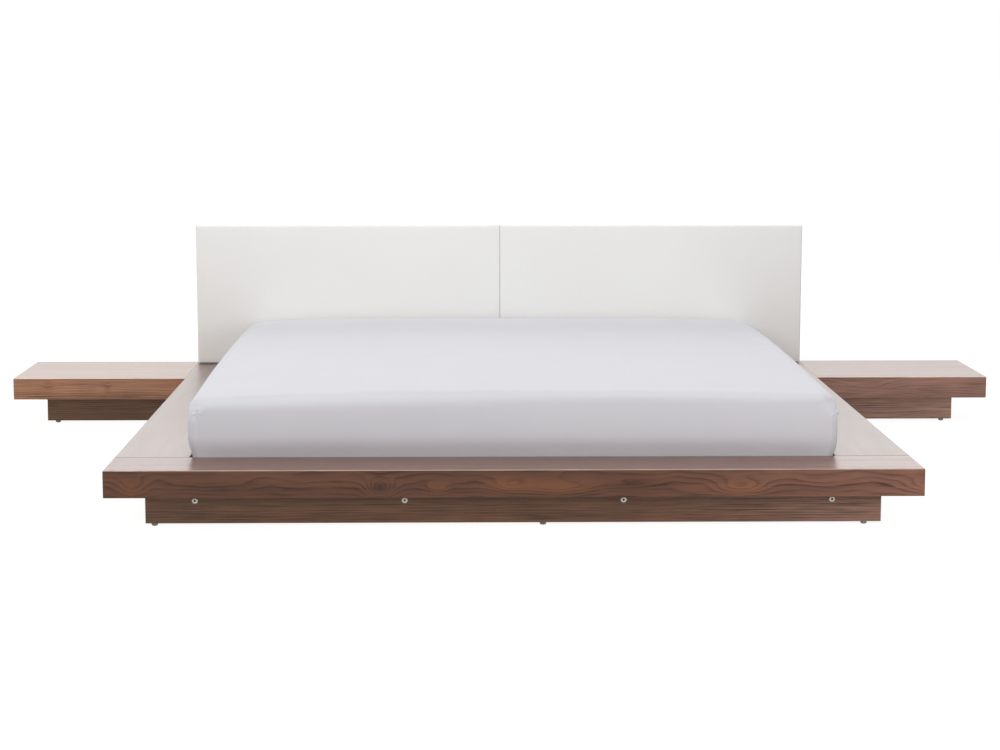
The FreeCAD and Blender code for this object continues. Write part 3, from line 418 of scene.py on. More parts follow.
def brushed_metal(name, light, dark, rough):
    """Bare or plated steel with fine scratches in its gloss."""
    finish, tree, shader, place = new_finish(name, Metallic=1.0)
    marks = cloudy(tree, add(tree, "Mapping", {"Vector": place, "Scale": SCRATCHES}).outputs[0], 1.0, 3.0)
    color = mixed(tree, cloudy(tree, place, STAIN_SCALE), dark, light)
    rough = calc(tree, "MULTIPLY_ADD", marks, SCRATCH_ROUGH, rough - SCRATCH_ROUGH / 2)
    coat(tree, shader, color, rough, marks, 0.1, 0.0001)
    return finish


zinc = brushed_metal("zinc_plate", linear(196, 191, 180), linear(164, 160, 152), 0.34)
dress(zinc, "barrel_nuts")
felt = speckled("felt", linear(112, 108, 104), linear(70, 68, 66), 700.0, 0.95, 0.6, 0.0008)
FELT_PAD = [(0.0168, 0.0), (0.0178, 0.0006), (0.018, 0.0014), (0.0179, 0.0024), (0.0172, 0.003)]
JOIST_LINES, FOOT_ROW, PAD_SIDES = (-0.882, -0.303, 0.303, 0.882), 0.0375, 40
pads = set_out(turned("felt_pad", PAD_SIDES, FELT_PAD), "joist_felt",
               [Matrix.Translation((x, FOOT_ROW, 0)) for x in JOIST_LINES], felt)
fit(pads, "bed_frame", "felt", "joist_foot_pads")


# Eight joist bolts: zinc plated, with a wide flat head that shows on the plinth as a pale ring round a
# hexagon socket painted near black inside as shade, and a shank that ends in the barrel nut.
HAIR = 0.001


def pick(piece, kind, test):
    """Selects edges or faces in edit mode by their middle and their direction or normal."""
    bpy.ops.mesh.select_mode(type=kind)
    bpy.ops.mesh.select_all(action="DESELECT")
    form = bmesh.from_edit_mesh(piece.data)
    for part in form.edges if kind == "EDGE" else form.faces:
        if kind == "EDGE":
            first, last = (v.co for v in part.verts)
            part.select_set(test((first + last) / 2, (last - first).normalized()))
        else:
            part.select_set(test(part.calc_center_median(), part.normal))
    form.select_flush_mode()
    bmesh.update_edit_mesh(piece.data)


def recessed(piece, reach, depth):
    """Sinks the middle of a head: its rim is drawn to the reach that each direction has."""
    mode("EDIT")
    pick(piece, "FACE", lambda at, facing: facing.z > 0.9 and at.length < HAIR)
    form = bmesh.from_edit_mesh(piece.data)
    for vertex in [v for v in form.verts if v.select]:
        turn = math.atan2(vertex.co.y, vertex.co.x)
        vertex.co.xy = vertex.co.xy.normalized() * reach(turn)
    bmesh.update_edit_mesh(piece.data)
    drawn_out(0, 0, depth)
    mode("OBJECT")


PLINTH_FACE, SHANK_END, SHANK, HEAD, BOLT_SIDES = -0.0024, -0.0814, 0.003, 0.0085, 36
SOCKET_RADIUS, SOCKET_FLOOR, BOLT_HEIGHT = 0.0038, -0.0042, 0.0715
BOLT = [(0.0024, SHANK_END), (SHANK, SHANK_END + 0.001), (SHANK, PLINTH_FACE), (HEAD, PLINTH_FACE),
        (HEAD, -0.0016), (0.0079, -0.0007), (0.0066, 0.0), (SOCKET_RADIUS, 0.0)]
# The inside of the socket is painted near black: painted shade in the recess.
socket_painted_shade = speckled("socket_painted_shade", linear(44, 40, 36), linear(24, 22, 20), 900.0, 0.6, 0.1, 0.0001)
SIXTH = math.pi / 3


def hexagon(turn):
    return SOCKET_RADIUS * math.cos(SIXTH / 2) / math.cos(turn % SIXTH - SIXTH / 2)


def joist_bolt():
    bolt = turned("joist_bolt", BOLT_SIDES, BOLT)
    recessed(bolt, hexagon, SOCKET_FLOOR)
    bolt.data.materials.append(zinc)
    bolt.data.materials.append(socket_painted_shade)
    # Faces inside the socket take the near black finish, painted shade.
    for face in bolt.data.polygons:
        inside = face.center.xy.length < SOCKET_RADIUS and face.center.z < -HAIR
        face.material_index = 1 if inside and face.center.z > SOCKET_FLOOR - HAIR else 0
    return bolt


for node, head_y, turn in (("front_bolts", -1.0524, math.pi / 2), ("rear_bolts", 1.1274, -math.pi / 2)):
    places = [Matrix.Translation((x, head_y, BOLT_HEIGHT)) @ Matrix.Rotation(turn, 4, "X")
              for x in JOIST_LINES]
    fit(set_out(joist_bolt(), node + "_turned", places, None, 30), "bed_frame", "zinc_steel", node)


# Slats: fourteen planed pine boards that lie across the joists, strung on three cotton tapes that
# are stapled under them so that they keep their distance.
def ease(width, *nodes):
    """Rounds the sharp edges of CAD pieces by a sanded arris."""
    for node in nodes:
        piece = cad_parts[node]
        weld = piece.modifiers.new("weld", "WELD")
        weld.merge_threshold = 0.00001
        plane = piece.modifiers.new("plane", "DECIMATE")
        plane.decimate_type = "DISSOLVE"
        plane.angle_limit = math.radians(1)
        arris = piece.modifiers.new("arris", "BEVEL")
        arris.width = width
        arris.segments = 2
        arris.limit_method = "ANGLE"
        arris.angle_limit = math.radians(50)
        arris.harden_normals = True


def apply(piece, label):
    alone(piece)
    bpy.ops.object.modifier_apply(modifier=label)


def thickened(piece, thickness, offset=-1.0):
    """Gives a sheet its thickness."""
    body = piece.modifiers.new("body", "SOLIDIFY")
    body.thickness = thickness
    body.offset = offset
    apply(piece, "body")


dress(sawn_wood("pine_slats", "X", seed=44.0, ring=0.006, figure=0.35, wander=5.0, **PINE), "slats")
ease(0.002, "slats")
webbing, tree, shader, place = new_finish("cotton_webbing", Roughness=0.85)
rows = add(tree, "TexWave", {"Vector": place, "Scale": 160.0}, bands_direction="Y").outputs[1]
cords = add(tree, "TexWave", {"Vector": place, "Scale": 110.0}, bands_direction="X").outputs[1]
weave = calc(tree, "MULTIPLY", rows, cords)
clean = calc(tree, "MULTIPLY_ADD", weave, 0.6, calc(tree, "MULTIPLY", cloudy(tree, place, 30.0), 0.4))
color = mixed(tree, clean, linear(196, 190, 176), linear(236, 232, 220))
coat(tree, shader, color, None, weave, 0.5, 0.0006)
SLAT_COUNT, FIRST_SLAT, SLAT_STEP, GAP_MIDDLE, GAP_HALF = 14, -0.916, 0.1461538, 0.108, 0.04
TAPE_TOP, TAPE_UNDER, TAPE_HANG = 0.098, 0.0968, 0.0012
TAPE_WIDTH, TAPE_LENGTH, TAPE_MIDDLE, TAPE_CUTS = 0.025, 1.97, 0.069, 12
GAPS = [FIRST_SLAT + SLAT_STEP * n + GAP_MIDDLE for n in range(SLAT_COUNT)]
for number, line in enumerate((-0.5925, 0.0, 0.5925)):
    bpy.ops.mesh.primitive_grid_add(x_subdivisions=2, y_subdivisions=SLAT_COUNT * TAPE_CUTS, size=1.0,
                                    location=(line, TAPE_MIDDLE, TAPE_TOP))
    bpy.context.object.scale = (TAPE_WIDTH, TAPE_LENGTH, 1.0)
    tape = named(f"slat_tape_{number + 1}")
    for vertex in tape.data.vertices:
        off = min(abs(vertex.co.y - gap) for gap in GAPS)
        vertex.co.z -= TAPE_HANG * max(0.0, 1 - (off / GAP_HALF) ** 2)
    thickened(tape, TAPE_TOP - TAPE_UNDER)
    tape.data.materials.append(webbing)
    shaded(tape, 40)
    fit(tape, "bed_frame", "webbing", "slat_webbing")


# The ledge: one long slab across the foot end and one along each side, flush on top, butted and
# dowelled at the corners. Each is a box of thin board, veneered with crown-cut walnut and lacquered.
WALNUT = {"light": linear(101, 67, 51), "dark": linear(47, 29, 23)}
FASCIA_KNOTS = (
    (-1.040, -1.022, 0.042, 0.032, 2.6, -0.35),   # oval near the left end
    (-0.800, -1.016, 0.160, 0.012, 0.8, 0.22),    # slanting dark streaks
    (-0.368, -1.026, 0.034, 0.026, 4.6, 0.14),    # the knot
    (-0.215, -1.026, 0.030, 0.016, 1.8, -0.7),    # pale patch beside it
    (-0.012, -1.018, 0.060, 0.024, 2.6, -0.9),    # two pale leaf shapes
    (0.120, -1.024, 0.075, 0.022, 2.4, -0.8),
    (0.300, -1.018, 0.120, 0.010, 0.6, 0.25),     # dark streak
    (0.620, -1.026, 0.070, 0.022, 3.0, -0.6),     # long arch
    (1.160, -1.020, 0.090, 0.026, 3.4, -0.4),     # arch that the right end cuts off
)
# The front slab grows paler towards the right, a painted sheen; its top is mixed towards a tone painted for
# the reflection and shade on it, and its upturned arrises carry a painted highlight.
dress(sawn_wood("walnut_front_slab", "X", seed=8.0, ring=0.017, figure=0.3, wander=1.6, contrast=0.85,
                fibre=0.7, knots=FASCIA_KNOTS, painted_far_sheen=linear(146, 102, 88), worn=0.5,
                painted_top_light=linear(130, 80, 65), **WALNUT, **LACQUER), "front_ledge")
# The side slabs' tops are mixed towards a tone painted for the reflection on them, and their upturned arrises
# carry a painted highlight.
dress(sawn_wood("walnut_side_slabs", "Y", seed=15.0, ring=0.015, figure=0.25, wander=2.0, contrast=0.7,
                fibre=0.5, worn=0.7, painted_top_light=linear(136, 108, 96), **WALNUT, **LACQUER),
      "left_ledge", "right_ledge")
ease(0.0024, "front_ledge", "left_ledge", "right_ledge")
panel_board = speckled("panel_board", linear(206, 178, 142), linear(158, 124, 88), 420.0, 0.75, 0.3, 0.0005)
dress(panel_board, "front_ledge_floor", "left_ledge_floor", "right_ledge_floor", "ledge_ribs", "rear_rail")
dress(beech, "ledge_dowels")
dress(zinc, "ledge_plates", "ledge_brackets")


# Mattress: a foam core in a knitted cover, crowned on top and rounded at its rim. Its sides swell
# between the corners. It lies loose on the slats in the well, and lifts straight out.
def block(name, low, high):
    """A cube between two corners."""
    middle = [(a + b) / 2 for a, b in zip(low, high)]
    bpy.ops.mesh.primitive_cube_add(size=1, location=middle, scale=[b - a for a, b in zip(low, high)])
    return named(name)


def round_off(piece, radius, segments, test):
    """Bevels the edges that pass a test of their middle and direction."""
    mode("EDIT")
    pick(piece, "EDGE", test)
    bpy.ops.mesh.bevel(offset=radius, segments=segments, profile=0.5, affect="EDGES")
    mode("OBJECT")


def sliced(piece, axis, low, high, parts):
    """Cuts a piece into even strips across one axis, so that a cover can move like cloth."""
    way = [0, 0, 0]
    way[axis] = 1
    mode("EDIT")
    for step in range(parts + 1):
        place = [(low + (high - low) * step / parts) * unit for unit in way]
        bpy.ops.mesh.select_all(action="SELECT")
        bpy.ops.mesh.bisect(plane_co=place, plane_no=way)
    mode("OBJECT")


def swollen(piece, pressure, cap, frames=20):
    """Blows a cover up like cloth over foam; no point moves further than cap allows it."""
    before = [v.co.copy() for v in piece.data.vertices]
    alone(piece)
    cover = piece.modifiers.new("cover", "CLOTH")
    cover.settings.use_pressure = True
    cover.settings.uniform_pressure_force = pressure
    cover.settings.effector_weights.gravity = 0
    cover.settings.quality = 4
    cover.point_cache.frame_start = 1
    cover.point_cache.frame_end = frames
    for step in range(1, frames + 1):
        bpy.context.scene.frame_set(step)
    apply(piece, "cover")
    bpy.context.scene.frame_set(1)
    for vertex, start in zip(piece.data.vertices, before):
        moved = vertex.co - start
        most = cap(start)
        vertex.co = start + moved * (most / max(most, moved.length))


def smoothed(piece):
    """One subdivision, applied."""
    finer = piece.modifiers.new("finer", "SUBSURF")
    finer.levels = finer.render_levels = 1
    apply(piece, "finer")
    bpy.ops.object.shade_smooth()


def held(value):
    """A value held between nothing and one."""
    return max(0.0, min(1.0, value))


def fuller(one, other, power):
    """How much a quarter round grows towards a square corner."""
    return math.hypot(one, other) / (one ** power + other ** power) ** (1 / power) - 1


def swell(height, rise):
    """How far a side has swollen at a height above the ledge."""
    return 1 - (1 - held(height / rise)) ** 2


HALF_WIDTH, FOOT_END, HEAD_END, UNDERSIDE, RIM_TOP = 0.900, -0.931, 1.069, 0.1201, 0.346
CORNER_ROUND, RIM_ROUND, LOW_ROUND, LEDGE_TOP = 0.050, 0.034, 0.025, 0.174
BACK_SQUARE, FRONT_SQUARE, CORNER_SQUARE, CORNER_SOFTER = 4, 3, 8, 6
SQUARE_RUN, SQUARE_START, SOFT_FROM, SOFT_OVER = 0.5, 0.3, 0.27, 0.05
CROWN, LENGTH_CROWN, LOW_CORNER, BACK_CORNER = 0.014, 0.008, 0.010, 0.016
MIDDLE_CROWN, CROWN_FALL, CORNER_TUCK, COVER_PRESSURE = 0.55, 0.45, 0.5, 4.0
SIDE_SWELL, SIDE_BOW, FRONT_SWELL, LEAN = 0.0145, 0.006, 0.022, 0.001
SWELL_RISE, RIGHT_SWELL_RISE, EDGE_FROM, EDGE_BAND = 0.06, 0.03, 0.85, 0.15
MIDDLE_Y, HALF_LENGTH = (FOOT_END + HEAD_END) / 2, (HEAD_END - FOOT_END) / 2
mattress = block("foam_mattress", (-HALF_WIDTH, FOOT_END, UNDERSIDE), (HALF_WIDTH, HEAD_END, RIM_TOP))
round_off(mattress, CORNER_ROUND, 6, lambda at, way: abs(way.z) > 0.9)
round_off(mattress, RIM_ROUND, 5, lambda at, way: at.z > RIM_TOP - HAIR)
round_off(mattress, LOW_ROUND, 4, lambda at, way: at.z < UNDERSIDE + HAIR)
sliced(mattress, 0, -HALF_WIDTH + CORNER_ROUND, HALF_WIDTH - CORNER_ROUND, 46)
sliced(mattress, 1, FOOT_END + CORNER_ROUND, HEAD_END - CORNER_ROUND, 50)
sliced(mattress, 2, UNDERSIDE + LOW_ROUND, RIM_TOP - RIM_ROUND, 10)
for vertex in mattress.data.vertices:
    spot = vertex.co
    # The rim is squarer at the head end, and at the foot end towards the right.
    aft, top = (spot.y - HEAD_END) / RIM_ROUND + 1, (spot.z - RIM_TOP) / RIM_ROUND + 1
    if aft > 0 and top > 0:
        grown = fuller(aft, top, BACK_SQUARE) * RIM_ROUND
        spot.y += aft * grown
        spot.z += top * grown
    fore = (FOOT_END - spot.y) / RIM_ROUND + 1
    if fore > 0 and top > 0:
        grown = fuller(fore, top, 2 + FRONT_SQUARE * held(spot.x / SQUARE_RUN + SQUARE_START)) * RIM_ROUND
        spot.y -= fore * grown
        spot.z += top * grown
    # The upright corners are nearly square, and softer high up at the foot end.
    over = (abs(spot.x) - HALF_WIDTH) / CORNER_ROUND + 1
    past = (abs(spot.y - MIDDLE_Y) - HALF_LENGTH) / CORNER_ROUND + 1
    if over > 0 and past > 0:
        softer = CORNER_SOFTER * held((spot.z - SOFT_FROM) / SOFT_OVER) if spot.y < MIDDLE_Y else 0.0
        grown = fuller(over, past, CORNER_SQUARE - softer) * CORNER_ROUND
        spot.x += math.copysign(over * grown, spot.x)
        spot.y += math.copysign(past * grown, spot.y - MIDDLE_Y)
    # The top is crowned, lowest at the left front and the back corners; the sides swell over the ledge.
    wide, long = spot.x / HALF_WIDTH, (spot.y - MIDDLE_Y) / HALF_LENGTH
    up = (spot.z - UNDERSIDE) / (RIM_TOP - UNDERSIDE)
    out = swell(spot.z - LEDGE_TOP, SWELL_RISE)
    right_out = swell(spot.z - LEDGE_TOP, RIGHT_SWELL_RISE)
    rise = CROWN * (1 - wide * wide) * (MIDDLE_CROWN - CROWN_FALL * long) + LENGTH_CROWN * (1 - long * long)
    rise -= LOW_CORNER * ((1 - wide) / 2) ** 3 * ((1 - long) / 2) ** 3
    rise -= BACK_CORNER * abs(wide) ** 6 * max(0.0, long) ** 6
    spot.z += rise * max(0.0, up) ** 2
    side = max(0.0, (abs(wide) - EDGE_FROM) / EDGE_BAND) ** 2
    side_out = (right_out if wide > 0 else -out) * (SIDE_SWELL + SIDE_BOW * (1 - long * long))
    spot.x += side * (LEAN + side_out)
    foot = max(0.0, (-long - EDGE_FROM) / EDGE_BAND) ** 2
    spot.y -= FRONT_SWELL * out * foot * (1 - CORNER_TUCK * abs(wide) ** 8)
IN_WELL, IN_AIR, WELL_EDGE, NEAR_HEADBOARD = 0.0008, 0.003, LEDGE_TOP + 0.012, 1.03


def room_in_well(start):
    """How far the cover may swell: little in the well and towards the headboard, more above the ledge."""
    return IN_WELL if start.z < WELL_EDGE or start.y > NEAR_HEADBOARD else IN_AIR


swollen(mattress, COVER_PRESSURE, room_in_well)
for vertex in mattress.data.vertices:
    vertex.co.z = max(vertex.co.z, UNDERSIDE)
SLUB_SCALE, UNEVEN_SCALE, SLUB_ROUGH = (240.0, 40.0, 240.0), 6.0, 0.15


def woven(name, light, dark, thread, strength, depth, sheen, rough):
    """Cloth with threads both ways, slightly uneven, with a soft sheen."""
    finish, tree, shader, place = new_finish(name, Sheen_Weight=sheen, Sheen_Roughness=0.5,
                                             Specular_Ior_Level=0.25)
    at = add(tree, "SeparateXYZ", {0: place}).outputs
    threads = []
    for axis in ("X", "Y"):
        way = add(tree, "CombineXYZ", {0: calc(tree, "ADD", at[axis], at["Z"])}).outputs[0]
        wave = add(tree, "TexWave", {"Vector": way, "Scale": thread, "Distortion": 0.6})
        threads.append(wave.outputs[1])
    cloth = calc(tree, "MULTIPLY", calc(tree, "ADD", *threads), 0.5)
    uneven = cloudy(tree, place, UNEVEN_SCALE, 3.0)
    slubs = cloudy(tree, add(tree, "Mapping", {"Vector": place, "Scale": SLUB_SCALE}).outputs[0])
    share = calc(tree, "MULTIPLY_ADD", cloth, 0.3, calc(tree, "MULTIPLY_ADD", slubs, 0.3, uneven))
    color = mixed(tree, grey_ramp(tree, share, (0.35, 0.0), (1.1, 1.0)), dark, light)
    rough = calc(tree, "MULTIPLY_ADD", slubs, SLUB_ROUGH, rough - 0.07)
    coat(tree, shader, color, rough, calc(tree, "MULTIPLY_ADD", slubs, 0.5, cloth), strength, depth)
    return finish


ticking = woven("knitted_ticking", linear(240, 240, 236), linear(222, 222, 218), 90.0, 0.5, 0.001, 0.1, 0.8)
mattress.data.materials.append(ticking)


# Fitted sheet: white sateen, cut with a square out of each corner, darted there and pulled over the
# mattress; its elastic hem grips under the mattress. It puckers where the darts end.
HEM_REACH, CLOTH_GAP, CLOTH_BODY, LEAST_GAP = 0.072, 0.0004, 0.0008, 0.0002
FINE_REACH, FINER_REACH, CORNER_REACH, SEAM_INSET = 0.11, 0.055, 0.12, 0.006
DART_TOP, DART_FADE, DART_WIDTH, DART_DEPTH = 0.298, 0.02, 0.004, 0.0014
RIDGE_OFF, RIDGE_WIDTH, RIDGE_FADE, RIDGE_HEIGHT = 0.009, 0.006, 0.03, 0.0018
PUCKER_LEVEL, PUCKER_RING, PUCKER_WIDTH, PUCKER_HEIGHT = 0.300, 0.007, 0.006, 0.0018
LEFT_SHIFT, RIGHT_SHIFT, FINE_ABOVE, FINER_BELOW = 0.014, 0.006, 0.02, 0.03
WAVER_HEIGHT, WAVERS, HIGH_WAVERS, UPRIGHT_ONLY = 0.0007, 9, 4, 1.4
GATHER_DEPTH, GATHERS, HEM_LEVEL, HEM_BAND, MEAN_CROWN = 0.004, 150, 0.004, 0.02, 0.008
# The dart's end that sticks out at one corner, and a crease by it: height, place and width beside the
# seam, place and width upwards.
DART_END, CREASE = (0.006, -0.012, 0.007, -0.005, 0.006), (-0.002, 0.002, 0.004, 0.003, 0.010)
sheet = twin(mattress, "fitted_sheet_cloth")
smoothed(mattress)
fit(mattress, "mattress", "ticking", "mattress")
alone(sheet)
CORNERS = [(x, y) for x in (-HALF_WIDTH, HALF_WIDTH) for y in (FOOT_END, HEAD_END)]


def near_corner(at, reach):
    return any((at.xy - Vector(corner)).length < reach for corner in CORNERS)


mode("EDIT")
pick(sheet, "FACE", lambda at, facing: facing.z < -0.9 and abs(at.x) < HALF_WIDTH - HEM_REACH
     and abs(at.y - MIDDLE_Y) < HALF_LENGTH - HEM_REACH)
bpy.ops.mesh.delete(type="FACE")
for reach, lowest in ((FINE_REACH, UNDERSIDE + FINE_ABOVE), (FINER_REACH, PUCKER_LEVEL - FINER_BELOW)):
    pick(sheet, "FACE", lambda at, facing: at.z > lowest and near_corner(at, reach))
    bpy.ops.mesh.subdivide(number_cuts=1, smoothness=1.0)
mode("OBJECT")
smoothed(sheet)
sheet.data.update()


def bell(value, middle, width):
    """One in the middle, falling away on both sides."""
    return math.exp(-((value - middle) / width) ** 2)


def corner_folds(spot, corner_x, corner_y):
    """How far the cloth stands out at a corner: a dart between two ridges, and a star of puckers above it."""
    inward = Vector((-math.copysign(1, corner_x), 1 if corner_y < 0 else -1))
    seam = Vector((corner_x, corner_y)) + inward * SEAM_INSET
    if (spot.xy - seam).length > CORNER_REACH:
        return 0.0
    beside = (spot.xy - seam).dot(Vector((-inward.y, inward.x)).normalized())
    above = spot.z - PUCKER_LEVEL
    lift = RIDGE_HEIGHT * bell(abs(beside), RIDGE_OFF, RIDGE_WIDTH) * held(-above / RIDGE_FADE)
    lift -= DART_DEPTH * bell(beside, 0.0, DART_WIDTH) * held((DART_TOP - spot.z) / DART_FADE)
    across = spot.x - corner_x - (LEFT_SHIFT if corner_x < 0 else RIGHT_SHIFT)
    ring, turn = math.hypot(across, above), math.atan2(across, above)
    folds = math.cos(5 * turn + 1.3 * corner_x + corner_y) + 0.6 * math.cos(3 * turn + corner_x)
    lift += PUCKER_HEIGHT * bell(ring, PUCKER_RING, PUCKER_WIDTH) * folds
    if corner_x > 0 and corner_y < 0:
        for height, middle, width, level, tall in (DART_END, CREASE):
            lift += height * bell(beside, middle, width) * bell(above, level, tall)
    return lift


facing_out = [v.normal.copy() for v in sheet.data.vertices]
for vertex, outward in zip(sheet.data.vertices, facing_out):
    spot = vertex.co.copy()
    lift = CLOTH_GAP + sum(corner_folds(spot, *corner) for corner in CORNERS)
    upright = max(0.0, 1 - abs(outward.z) * UPRIGHT_ONLY)
    lift += WAVER_HEIGHT * upright * noise.noise((spot.x * WAVERS, spot.y * WAVERS, spot.z * HIGH_WAVERS))
    vertex.co += outward * max(LEAST_GAP, lift)
for vertex in sheet.data.vertices:
    inner_x = HALF_WIDTH - HEM_REACH - abs(vertex.co.x)
    inner_y = HALF_LENGTH - HEM_REACH - abs(vertex.co.y - MIDDLE_Y)
    if vertex.co.z < UNDERSIDE + HEM_LEVEL:
        vertex.co.z = UNDERSIDE - CLOTH_GAP
        gather = GATHER_DEPTH * math.sin(GATHERS * (vertex.co.x + vertex.co.y))
        if inner_y > 0 and inner_x > -HEM_BAND:
            vertex.co.x -= math.copysign(gather, vertex.co.x)
        elif inner_x > 0 and inner_y > -HEM_BAND:
            vertex.co.y -= math.copysign(gather, vertex.co.y - MIDDLE_Y)
thickened(sheet, CLOTH_BODY, 1.0)
sateen = woven("white_sateen", linear(215, 215, 220), linear(211, 211, 217), 420.0, 0.15, 0.0004, 0.15, 0.62)
sheet.data.materials.clear()
sheet.data.materials.append(sateen)
fit(sheet, "mattress", "bed_sheet", "fitted_sheet")


# Headboard: two foam pads over boards, covered in white faux leather that is drawn round to the
# back. The halves meet in a seam in the middle and stand a little clear of the ledge on spacers.
BACK, PAD_FRONT, PAD_FOOT, PAD_TOP, PAD_END, SEAM = 1.145, 1.081, 0.1785, 0.686, 1.118, 0.0005
TOP_ROUND, FOOT_ROUND, SEAM_ROUND, SEAM_STRIP, BACK_STRIP = 0.006, 0.0025, 0.0018, 0.02, 0.012
PAD_CROWN, CROWN_END, CROWN_RUN, BEHIND = 0.0022, 1.105, 0.024, 1.11
FRONT_GIVE, BACK_GIVE, SEAM_GIVE = 0.0018, 0.0008, 0.0002
pad = block("headboard_right_cushion", (SEAM, PAD_FRONT, PAD_FOOT), (PAD_END, BACK, PAD_TOP))
round_off(pad, TOP_ROUND, 5, lambda at, way: at.y < PAD_FRONT + HAIR and (
    at.z > PAD_TOP - HAIR or at.x > PAD_END - HAIR))
round_off(pad, FOOT_ROUND, 3, lambda at, way: at.y < PAD_FRONT + HAIR and at.z < PAD_FOOT + HAIR)
round_off(pad, SEAM_ROUND, 3, lambda at, way: at.y < PAD_FRONT + HAIR and at.x < SEAM + HAIR
          and abs(way.z) > 0.9)
sliced(pad, 0, SEAM_STRIP, PAD_END - TOP_ROUND, 60)
sliced(pad, 2, PAD_FOOT + FOOT_ROUND, PAD_TOP - TOP_ROUND, 28)
sliced(pad, 1, PAD_FRONT + TOP_ROUND, BACK - BACK_STRIP, 2)
for vertex in pad.data.vertices:
    wide = (vertex.co.x - PAD_END / 2) / (PAD_END / 2)
    high = (vertex.co.z - (PAD_FOOT + PAD_TOP) / 2) / ((PAD_TOP - PAD_FOOT) / 2)
    front = held((CROWN_END - vertex.co.y) / CROWN_RUN)
    vertex.co.y -= PAD_CROWN * front * (1 - abs(wide) ** 5) * (1 - abs(high) ** 4)


def firm_foam(start):
    """The leather is drawn tight, so it swells little, and hardly at all behind."""
    return FRONT_GIVE if start.y < BEHIND else BACK_GIVE


swollen(pad, COVER_PRESSURE, firm_foam)
for vertex in pad.data.vertices:
    vertex.co.y = min(vertex.co.y, BACK)
    vertex.co.x = max(vertex.co.x, SEAM - SEAM_GIVE)
leather, tree, shader, place = new_finish("white_faux_leather", Specular_Ior_Level=0.4)
cells = add(tree, "TexVoronoi", {"Vector": place, "Scale": 620.0}, feature="DISTANCE_TO_EDGE").outputs[0]
creases = grey_ramp(tree, cells, (0.0, 0.0), (0.12, 1.0))
clouds = cloudy(tree, place, 3.0, 3.0)
pull = cloudy(tree, add(tree, "Mapping", {"Vector": place, "Scale": (5.0, 5.0, 16.0)}).outputs[0])
share = calc(tree, "MULTIPLY_ADD", creases, 0.35, calc(tree, "MULTIPLY", clouds, 0.65))
color = mixed(tree, share, linear(238, 237, 234), linear(248, 247, 245))
rough = calc(tree, "MULTIPLY_ADD", clouds, 0.14, 0.42)
coat(tree, shader, color, rough, calc(tree, "MULTIPLY_ADD", pull, 0.8, creases), 0.16, 0.0005)
pad.data.materials.append(leather)
other = twin(pad, "headboard_left_cushion")
other.data.transform(Matrix.Scale(-1, 4, (1, 0, 0)))
other.data.flip_normals()
POCKET_PLAY, POCKET_PAST = 0.0001, 0.01
for cushion, side in ((pad, "right"), (other, "left")):
    board_low, board_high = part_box(f"headboard_{side}_board")
    pocket = block("pocket", Vector(board_low) - Vector((POCKET_PLAY, POCKET_PLAY, POCKET_PLAY)),
                   Vector(board_high) + Vector((POCKET_PLAY, POCKET_PAST, POCKET_PLAY)))
    recess = cushion.modifiers.new("recess", "BOOLEAN")
    recess.operation = "DIFFERENCE"
    recess.object = pocket
    apply(cushion, "recess")
    bpy.data.objects.remove(pocket)
    shaded(cushion, 50)
    fit(cushion, "bed_frame", "faux_leather", f"headboard_{side}_pad")
dress(panel_board, "headboard_left_board", "headboard_right_board")
dress(glide_plastic, "headboard_spacers")


# Back of the headboard: black lining cloth stapled over the boards, steel straps that are screwed
# to the boards and to the rear rail, and two plates that join the halves across the seam.
LINING_GAP, LINING_BODY, RIPPLE_HEIGHT, RIPPLE_SCALE, TIGHT_EDGE = 0.0002, 0.0004, 0.0004, 14, 0.03
lining = speckled("lining_cloth", linear(52, 52, 54), linear(30, 30, 32), 1100.0, 0.92, 0.5, 0.0004)
for side in ("left", "right"):
    low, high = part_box(f"headboard_{side}_back_cloth")
    size = [b - a for a, b in zip(low, high)]
    bpy.ops.mesh.primitive_grid_add(
        x_subdivisions=90, y_subdivisions=40, size=1.0, rotation=(-math.pi / 2, 0, 0),
        location=((low[0] + high[0]) / 2, low[1] + LINING_GAP, (low[2] + high[2]) / 2))
    bpy.context.object.scale = (size[0], size[2], 1.0)
    cloth = named(f"headboard_{side}_lining")
    for vertex in cloth.data.vertices:
        x, z = vertex.co.x, vertex.co.z
        edge = min(x - low[0], high[0] - x, z - low[2], high[2] - z)
        ripple = noise.noise((x * RIPPLE_SCALE, 3.0, z * RIPPLE_SCALE))
        vertex.co.y += RIPPLE_HEIGHT * min(1.0, edge / TIGHT_EDGE) * (0.5 + ripple)
    thickened(cloth, LINING_BODY, 1.0)
    shaded(cloth, 40)
    cloth.data.materials.append(lining)
    fit(cloth, "bed_frame", "lining_cloth", f"headboard_{side}_back_cloth")
black_steel = speckled("black_coated_steel", linear(46, 46, 48), linear(30, 30, 32), 500.0, 0.42, 0.2, 0.0003,
                       Metallic=0.4)
dress(black_steel, "headboard_straps")
dress(zinc, "headboard_joining_plates")


# Bedside tables: a slab on its own plinth at each side, level with the ledge and plated to it from
# below. The same box of thin board, in a warmer walnut whose grain runs along the front.
LEFT_KNOTS = ((-1.393, 0.828, 0.014, 0.018, 0.9, 0.35), (-1.602, 0.838, 0.020, 0.020, 1.2, 0.25))
RIGHT_KNOTS = ((1.300, 0.826, 0.110, 0.030, 3.4, -0.1),)
